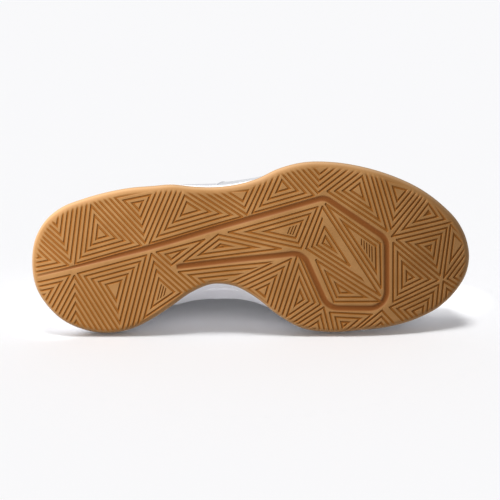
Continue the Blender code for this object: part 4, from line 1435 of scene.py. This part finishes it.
TONGUE_RELIEF = 0.0004
TONGUE_WHITE = (0.78, 0.78, 0.81)
TONGUE_SHADE = (0.52, 0.52, 0.57)


def through(points, count):
    """Evenly spread places on a smooth curve through rows of points, along the first axis."""
    slope = np.gradient(points, axis=0)
    at = np.linspace(0, len(points) - 1, count)
    i = np.minimum(at.astype(int), len(points) - 2)
    f = (at - i).reshape(-1, *[1] * (points.ndim - 1))
    ends = points[i] * (1 + 2 * f) * (1 - f) ** 2 + points[i + 1] * f * f * (3 - 2 * f)
    return ends + slope[i] * f * (1 - f) ** 2 + slope[i + 1] * f * f * (f - 1)


def tongue_row(x):
    """One row across the tongue, tucked under the eyestay on both sides."""
    edge = 1.0 if x < THROAT_FOOT else TONGUE_FOOT_EDGE
    tuck = edge - TONGUE_TUCK_HEAD
    tuck -= (TONGUE_TUCK - TONGUE_TUCK_HEAD) * eased((x - THROAT_HEAD) / TONGUE_TUCK_OVER)
    gap = upper_sizes(station_at(x, 1))[HALF_GAP_COLUMN - 1]
    crown = TONGUE_CROWN * eased(gap / TONGUE_CROWN_GAP)
    sides = []
    for side in (1, -1):
        share = np.array((tuck, (tuck + edge) / 2, edge))
        station = np.full(3, station_at(x, side))
        point = upper_point(station, share)
        away = wall_thickness(point[:, 0], share) + TONGUE_UNDER
        sides.append(point - upper_normal(station, share) * away[:, None])
    medial, lateral = sides
    f = np.linspace(0, 1, 5)[1:-1, None]
    middle = medial[-1] * (1 - f) + lateral[-1] * f + np.array((0, 0, 1)) * crown * 4 * f * (1 - f)
    return np.concatenate((medial, middle, lateral[::-1]))


def make_tongue():
    rows = [tongue_row(x) for x in np.linspace(TONGUE_FOOT, THROAT_HEAD, TONGUE_ROWS)]
    head = rows[-1]
    lean = np.array((-math.cos(TONGUE_LEAN), 0, math.sin(TONGUE_LEAN)))
    for share in TONGUE_TOP_SHARES:
        narrow = 1 - (1 - TONGUE_TOP_NARROW) * share
        row = head * (1, narrow, 1) + np.array((0, head[:, 1].mean() * (1 - narrow), 0))
        rows.append(row + lean * TONGUE_RISE * share)
    grid = through(np.array(rows), TONGUE_ALONG)
    grid = through(grid.swapaxes(0, 1), TONGUE_ACROSS).swapaxes(0, 1)
    down = np.cross(np.gradient(grid, axis=0), np.gradient(grid, axis=1))
    down /= np.linalg.norm(down, axis=2, keepdims=True)
    down *= -np.sign(down[:, :, 2:3])
    q = np.linspace(-1, 1, TONGUE_ACROSS)
    v = np.linspace(0, 1, TONGUE_ALONG)
    soft = np.sqrt(np.clip(1 - q**6, 0, 1)) * (1 - TONGUE_EDGE_THIN) + TONGUE_EDGE_THIN
    past = np.clip((v - TONGUE_END_FROM) / TONGUE_END_OVER, 0, 1)
    ends = np.sqrt(np.clip(1 - past**2, 0, 1)) * (1 - TONGUE_END_THIN) + TONGUE_END_THIN
    puffed = eased((v - TONGUE_PUFF_FROM) / TONGUE_FADE) * ends
    puff = np.outer(puffed, 1 - np.abs(q) ** 3) * TONGUE_PUFF
    sewn = eased((v - TONGUE_CHANNEL_FROM) / TONGUE_FADE) * (v < TONGUE_SEAM)
    channel = np.exp(-(((np.abs(q) - TONGUE_CHANNEL) / TONGUE_CHANNEL_WIDE) ** 2))
    seam = np.exp(-(((v - TONGUE_SEAM) / TONGUE_SEAM_WIDE) ** 2))
    puff = puff - TONGUE_SEAM_DEEP * (np.outer(sewn, channel) + np.outer(seam, 1 - np.abs(q) ** 6))
    sunk = (1 - soft)[None, :] * TONGUE_THICK / 2
    top = grid + down * (sunk - puff)[..., None]
    under = grid + down * (sunk + np.outer(ends, soft) * TONGUE_THICK)[..., None]
    body = Body()
    rings = []
    for high, low in zip(top, under):
        rings.append(body.add(np.concatenate((high, low[::-1]))))
    body.skin(rings)
    for ring in (rings[0], rings[-1]):
        body.bridge(ring[:TONGUE_ACROSS], ring[TONGUE_ACROSS:][::-1], False)
    across = np.linalg.norm(np.diff(grid, axis=1), axis=2).cumsum(1)
    across = np.column_stack((np.zeros(len(grid)), across)) - across[:, -1:] / 2
    length = np.append(0, np.linalg.norm(np.diff(grid.mean(1), axis=0), axis=1).cumsum())
    uv = np.stack((across, np.broadcast_to(length[:, None], across.shape)), -1)
    uv = np.concatenate((uv, uv[:, ::-1]), 1).reshape(-1, 2)
    cloth = cloth_finish("tongue_cloth", TONGUE_WHITE, TONGUE_SHADE, TONGUE_PITCH, TONGUE_RELIEF)
    return body.make("tongue_pad", [cloth], sharp=70.0, uv=uv)


tongue = make_tongue()
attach(tongue, "root")
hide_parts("tongue")

# Eyelets
# Twelve stamped rings in two rows, pressed through the eyestay. A thin dark plug in each is
# painted shade that stands for the dark of the hole.
EYELET_ROWS = 6
EYELET_FIRST = 186.0
EYELET_LAST = 121.0
EYELET_SHARE = 0.93
EYELET_RADIUS = 2.7
EYELET_WIRE = 0.75
EYELET_SIDES = 20
EYELET_WIRE_SIDES = 8
EYELET_WHITE = (0.72, 0.72, 0.76)
EYELET_SHADE = (0.55, 0.55, 0.60)
HOLE_DEPTH = 0.6
# A dark plug as painted shade for each eyelet hole.
HOLE_SHADE = (0.15, 0.15, 0.17)


def eyelet_tree():
    """Rings on the points of a mesh, each facing as its point says, with a dark plug of painted
    shade in each hole.
    """
    tree, start, inputs = instance_tree("eyelet_rings", ("Radius", "Wire", "Depth"))
    radius, wire, depth, finish = (start.output(n) for n in (1, 2, 3, 4))
    ring = round_wire(start, circle(start, EYELET_SIDES, radius), EYELET_WIRE_SIDES, wire)
    hole = {"Vertices": EYELET_SIDES, "Radius": radius, "Depth": depth}
    hole = start.node("GeometryNodeMeshCylinder", {"fill_type": "NGON"}, hole)
    eyelet = start.node("GeometryNodeJoinGeometry", None, {"Geometry": ring})
    hole.into(eyelet.socket.node.inputs["Geometry"])
    end_tree(start, start, eyelet, turned(start, "Z", Vector=facing_of(start)), finish)
    return tree, inputs


def plain_finish(name, colour):
    """A dull finish of one colour."""
    constants = {"Base Color": (*colour, 1), "Roughness": 0.9, "Specular IOR Level": 0.1}
    return new_finish(name, constants)[0]


def eyelet_spots():
    """Where the eyelets are, row by row on each side."""
    x = np.linspace(EYELET_FIRST, EYELET_LAST, EYELET_ROWS)
    return [on_upper(station_at(x, side), EYELET_SHARE) for side in (1, -1)]


enamel = thread_finish("eyelet_enamel", EYELET_WHITE, EYELET_SHADE)
eyelets = grown("eyelet_rings", eyelet_spots(), eyelet_tree(), {
    "Radius": EYELET_RADIUS * MILLIMETRE,
    "Wire": EYELET_WIRE * MILLIMETRE,
    "Depth": HOLE_DEPTH * MILLIMETRE,
    "Finish": enamel,
})
eyelets.data.materials.clear()
eyelets.data.materials.append(enamel)
# The plugs take this colour: painted shade for the holes.
eyelets.data.materials.append(plain_finish("painted_hole_shade", HOLE_SHADE))
# Only the two ends of a plug have more than four corners.
for face in eyelets.data.polygons:
    face.material_index = int(len(face.vertices) > 4)
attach(eyelets, "root")

# Lace
# One flat woven lace in crossed runs over the tongue. Each run dips and narrows into an eyelet at
# both ends, and the lace stops at the top eyelets.
LACE_WIDTH = 6.5
LACE_THICK = 1.4
LACE_LIFT = 1.2
LACE_CROWN = 0.6
LACE_OVER = 1.6
LACE_DIP = 2.6
LACE_DIP_OVER = 3.4
LACE_OVER_WIDE = 0.16
LACE_NARROWER = 0.45
LACE_STEPS = 40
LACE_SIDES = 16
LACE_SQUARE = (0.6, 0.8)
LACE_PITCH = 0.9
LACE_WHITE = (0.82, 0.82, 0.85)
LACE_SHADE = (0.50, 0.50, 0.56)


def lace_run(row_from, row_to, side, over):
    """Middle line, facing and narrowing of one run, from an eyelet across to the other side."""
    x = np.linspace(EYELET_FIRST, EYELET_LAST, EYELET_ROWS)
    ends = []
    for row, at_side in ((row_from, side), (row_to, -side)):
        station = station_at(x[row], at_side)
        normal = upper_normal(station, EYELET_SHARE)
        ends.append((upper_point(station, EYELET_SHARE) + normal * LACE_LIFT, normal))
    (start, start_normal), (end, end_normal) = ends
    slope = (start_normal - end_normal) @ (start - end) / (start_normal + end_normal)[2]
    f = np.linspace(0, 1, LACE_STEPS + 1)[:, None]
    away = np.minimum(f, 1 - f) * np.linalg.norm(end - start)
    ended = 1 - eased(away / LACE_DIP_OVER)
    hump = over * LACE_OVER * np.exp(-(((f - 0.5) / LACE_OVER_WIDE) ** 2))
    facing = start_normal * (1 - f) + end_normal * f
    facing /= np.linalg.norm(facing, axis=1, keepdims=True)
    rise = (slope / 4 + LACE_CROWN) * 4 * f * (1 - f)
    run = start * (1 - f) + end * f + np.array((0, 0, 1)) * rise
    return run + facing * (hump - LACE_DIP * ended), facing, 1 - LACE_NARROWER * ended


def make_lace():
    body = Body()
    runs = [lace_run(0, 0, 1, 0)]
    for row in range(EYELET_ROWS - 1):
        runs += [lace_run(row, row + 1, 1, 0), lace_run(row, row + 1, -1, 1)]
    angle = np.arange(LACE_SIDES) * math.tau / LACE_SIDES
    waves = np.cos(angle), np.sin(angle)
    flat, thick = (np.sign(wave) * np.abs(wave) ** power for wave, power in zip(waves, LACE_SQUARE))
    flat, thick = flat * LACE_WIDTH / 2, thick * LACE_THICK / 2
    maps = []
    for run, facing, narrow in runs:
        across = np.cross(facing, run[-1] - run[0])
        across /= np.linalg.norm(across, axis=1, keepdims=True)
        rings = []
        for point, out, side, slim in zip(run, facing, across, narrow):
            rings.append(body.add(point + np.outer(flat * slim, side) + np.outer(thick, out)))
        body.skin(rings)
        body.faces.extend((rings[0].tolist(), rings[-1].tolist()))
        length = np.append(0, np.linalg.norm(np.diff(run, axis=0), axis=1).cumsum())
        maps.append(np.column_stack((np.tile(flat, len(run)), np.repeat(length, LACE_SIDES))))
    cloth = cloth_finish("lace_weave", LACE_WHITE, LACE_SHADE, LACE_PITCH)
    return body.make("flat_lace", [cloth], sharp=60.0, uv=np.concatenate(maps))


lace = make_lace()
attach(lace, "root")
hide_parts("lace")

# Floor, light and camera
# A white studio floor, even light from all round and a soft sun from high on the left. The floor
# has a sun of its own from above, with fills that thin its shadows. Two lamps light the sole alone.
FLOOR_SIZE = 12.0
FLOOR_WHITE = (0.955, 0.955, 0.97)
SKY_STRENGTH = 0.36
SUN_STRENGTH = 2.25
SUN_SOFT = math.radians(20)
SUN_WAY = Vector((0.45, 0.12, -0.885))
FLOOR_SUN_STRENGTH = 1.9
FLOOR_SUN_SOFT = math.radians(17)
FLOOR_SUN_WAY = Vector((0.05, -0.08, -1.0))
FLOOR_LIFT = 0.12
KEY_POWER = 6.0
KEY_SIZE = 0.25
KEY_AT = Vector((-0.36, -0.30, 0.42))
KEY_AIM = Vector((-0.08, -0.05, 0.07))
WAIST_POWER = 0.4
WAIST_LAMP_AT = Vector((-0.03, -0.35, 0.03))
DOWN = Vector((0, 0, -1))
FILL_HEIGHT = 0.5
TOE_FILL_POWER = 3.0
TOE_FILL_AT = (0.132, -0.003)
TOE_FILL_RADIUS = 0.038
HEEL_FILL_POWER = 5.0
HEEL_FILL_AT = (-0.132, -0.046)
HEEL_FILL_RADIUS = 0.034
ELEVATION = math.radians(20.0)
AZIMUTH = math.radians(0.0)
DISTANCE = 1.35
FRAME_WIDTH = 0.3286
AIM = Vector((-0.001, -0.058, 0.0565))
SENSOR = 36.0
CLIP_START = 0.05

floor_mesh = bpy.data.meshes.new("floor")
half = FLOOR_SIZE / 2
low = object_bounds()[0][2]
corners = [(-half, -half, low), (half, -half, low), (half, half, low), (-half, half, low)]
floor_mesh.from_pydata(corners, [], [(0, 1, 2, 3)])
floor = in_scene("floor", floor_mesh)
floor_mesh.materials.append(plain_finish("floor_white", FLOOR_WHITE))

world = bpy.data.worlds.new("studio")
bpy.context.scene.world = world
world.use_nodes = True
sky = world.node_tree.nodes["Background"].inputs
sky["Color"].default_value = (1.0, 1.0, 1.0, 1)
sky["Strength"].default_value = SKY_STRENGTH


def add_lamp(name, kind, power, at, way, lit, shaded=True, **settings):
    """A lamp that shines one way on some pieces alone, shaded by the shoe or not."""
    data = bpy.data.lights.new(name, kind)
    data.energy = power
    for setting, value in settings.items():
        setattr(data, setting, value)
    lamp = in_scene(name, data)
    lamp.location = at
    lamp.rotation_euler = way.to_track_quat("-Z", "Y").to_euler()
    alone = bpy.data.collections.new(name + "_lights")
    for piece in lit:
        alone.objects.link(piece)
    lamp.light_linking.receiver_collection = alone
    if not shaded:
        lamp.light_linking.blocker_collection = alone


def floor_fill(name, power, at, radius):
    """A spot straight down on the floor, which the shoe does not shade."""
    spread = 2 * math.atan(radius / FILL_HEIGHT)
    at = (*at, FILL_HEIGHT)
    add_lamp(name, "SPOT", power, at, DOWN, [floor], False, spot_size=spread, spot_blend=1.0)


shoe = [outsole, midsole, insole, upper, stitches, tongue, eyelets, lace]
add_lamp("sun", "SUN", SUN_STRENGTH, -DOWN, SUN_WAY, shoe, angle=SUN_SOFT)
add_lamp("floor_sun", "SUN", FLOOR_SUN_STRENGTH, -DOWN, FLOOR_SUN_WAY, [floor], angle=FLOOR_SUN_SOFT)
add_lamp("floor_lift", "SUN", FLOOR_LIFT, -DOWN, DOWN, [floor], False)
add_lamp("key", "AREA", KEY_POWER, KEY_AT, KEY_AIM - KEY_AT, [outsole, midsole], size=KEY_SIZE)
add_lamp("waist", "POINT", WAIST_POWER, WAIST_LAMP_AT, DOWN, [midsole])
floor_fill("toe_fill", TOE_FILL_POWER, TOE_FILL_AT, TOE_FILL_RADIUS)
floor_fill("heel_fill", HEEL_FILL_POWER, HEEL_FILL_AT, HEEL_FILL_RADIUS)

camera_data = bpy.data.cameras.new("camera")
camera_data.sensor_width = SENSOR
camera_data.lens = SENSOR * DISTANCE / FRAME_WIDTH
camera_data.clip_start = CLIP_START
camera = in_scene("camera", camera_data)
toward = Vector((
    math.sin(AZIMUTH) * math.cos(ELEVATION),
    -math.cos(AZIMUTH) * math.cos(ELEVATION),
    math.sin(ELEVATION),
))
camera.location = AIM + toward * DISTANCE
camera.rotation_euler = (-toward).to_track_quat("-Z", "Y").to_euler()
bpy.context.scene.camera = camera
bpy.context.scene.view_settings.view_transform = "Standard"
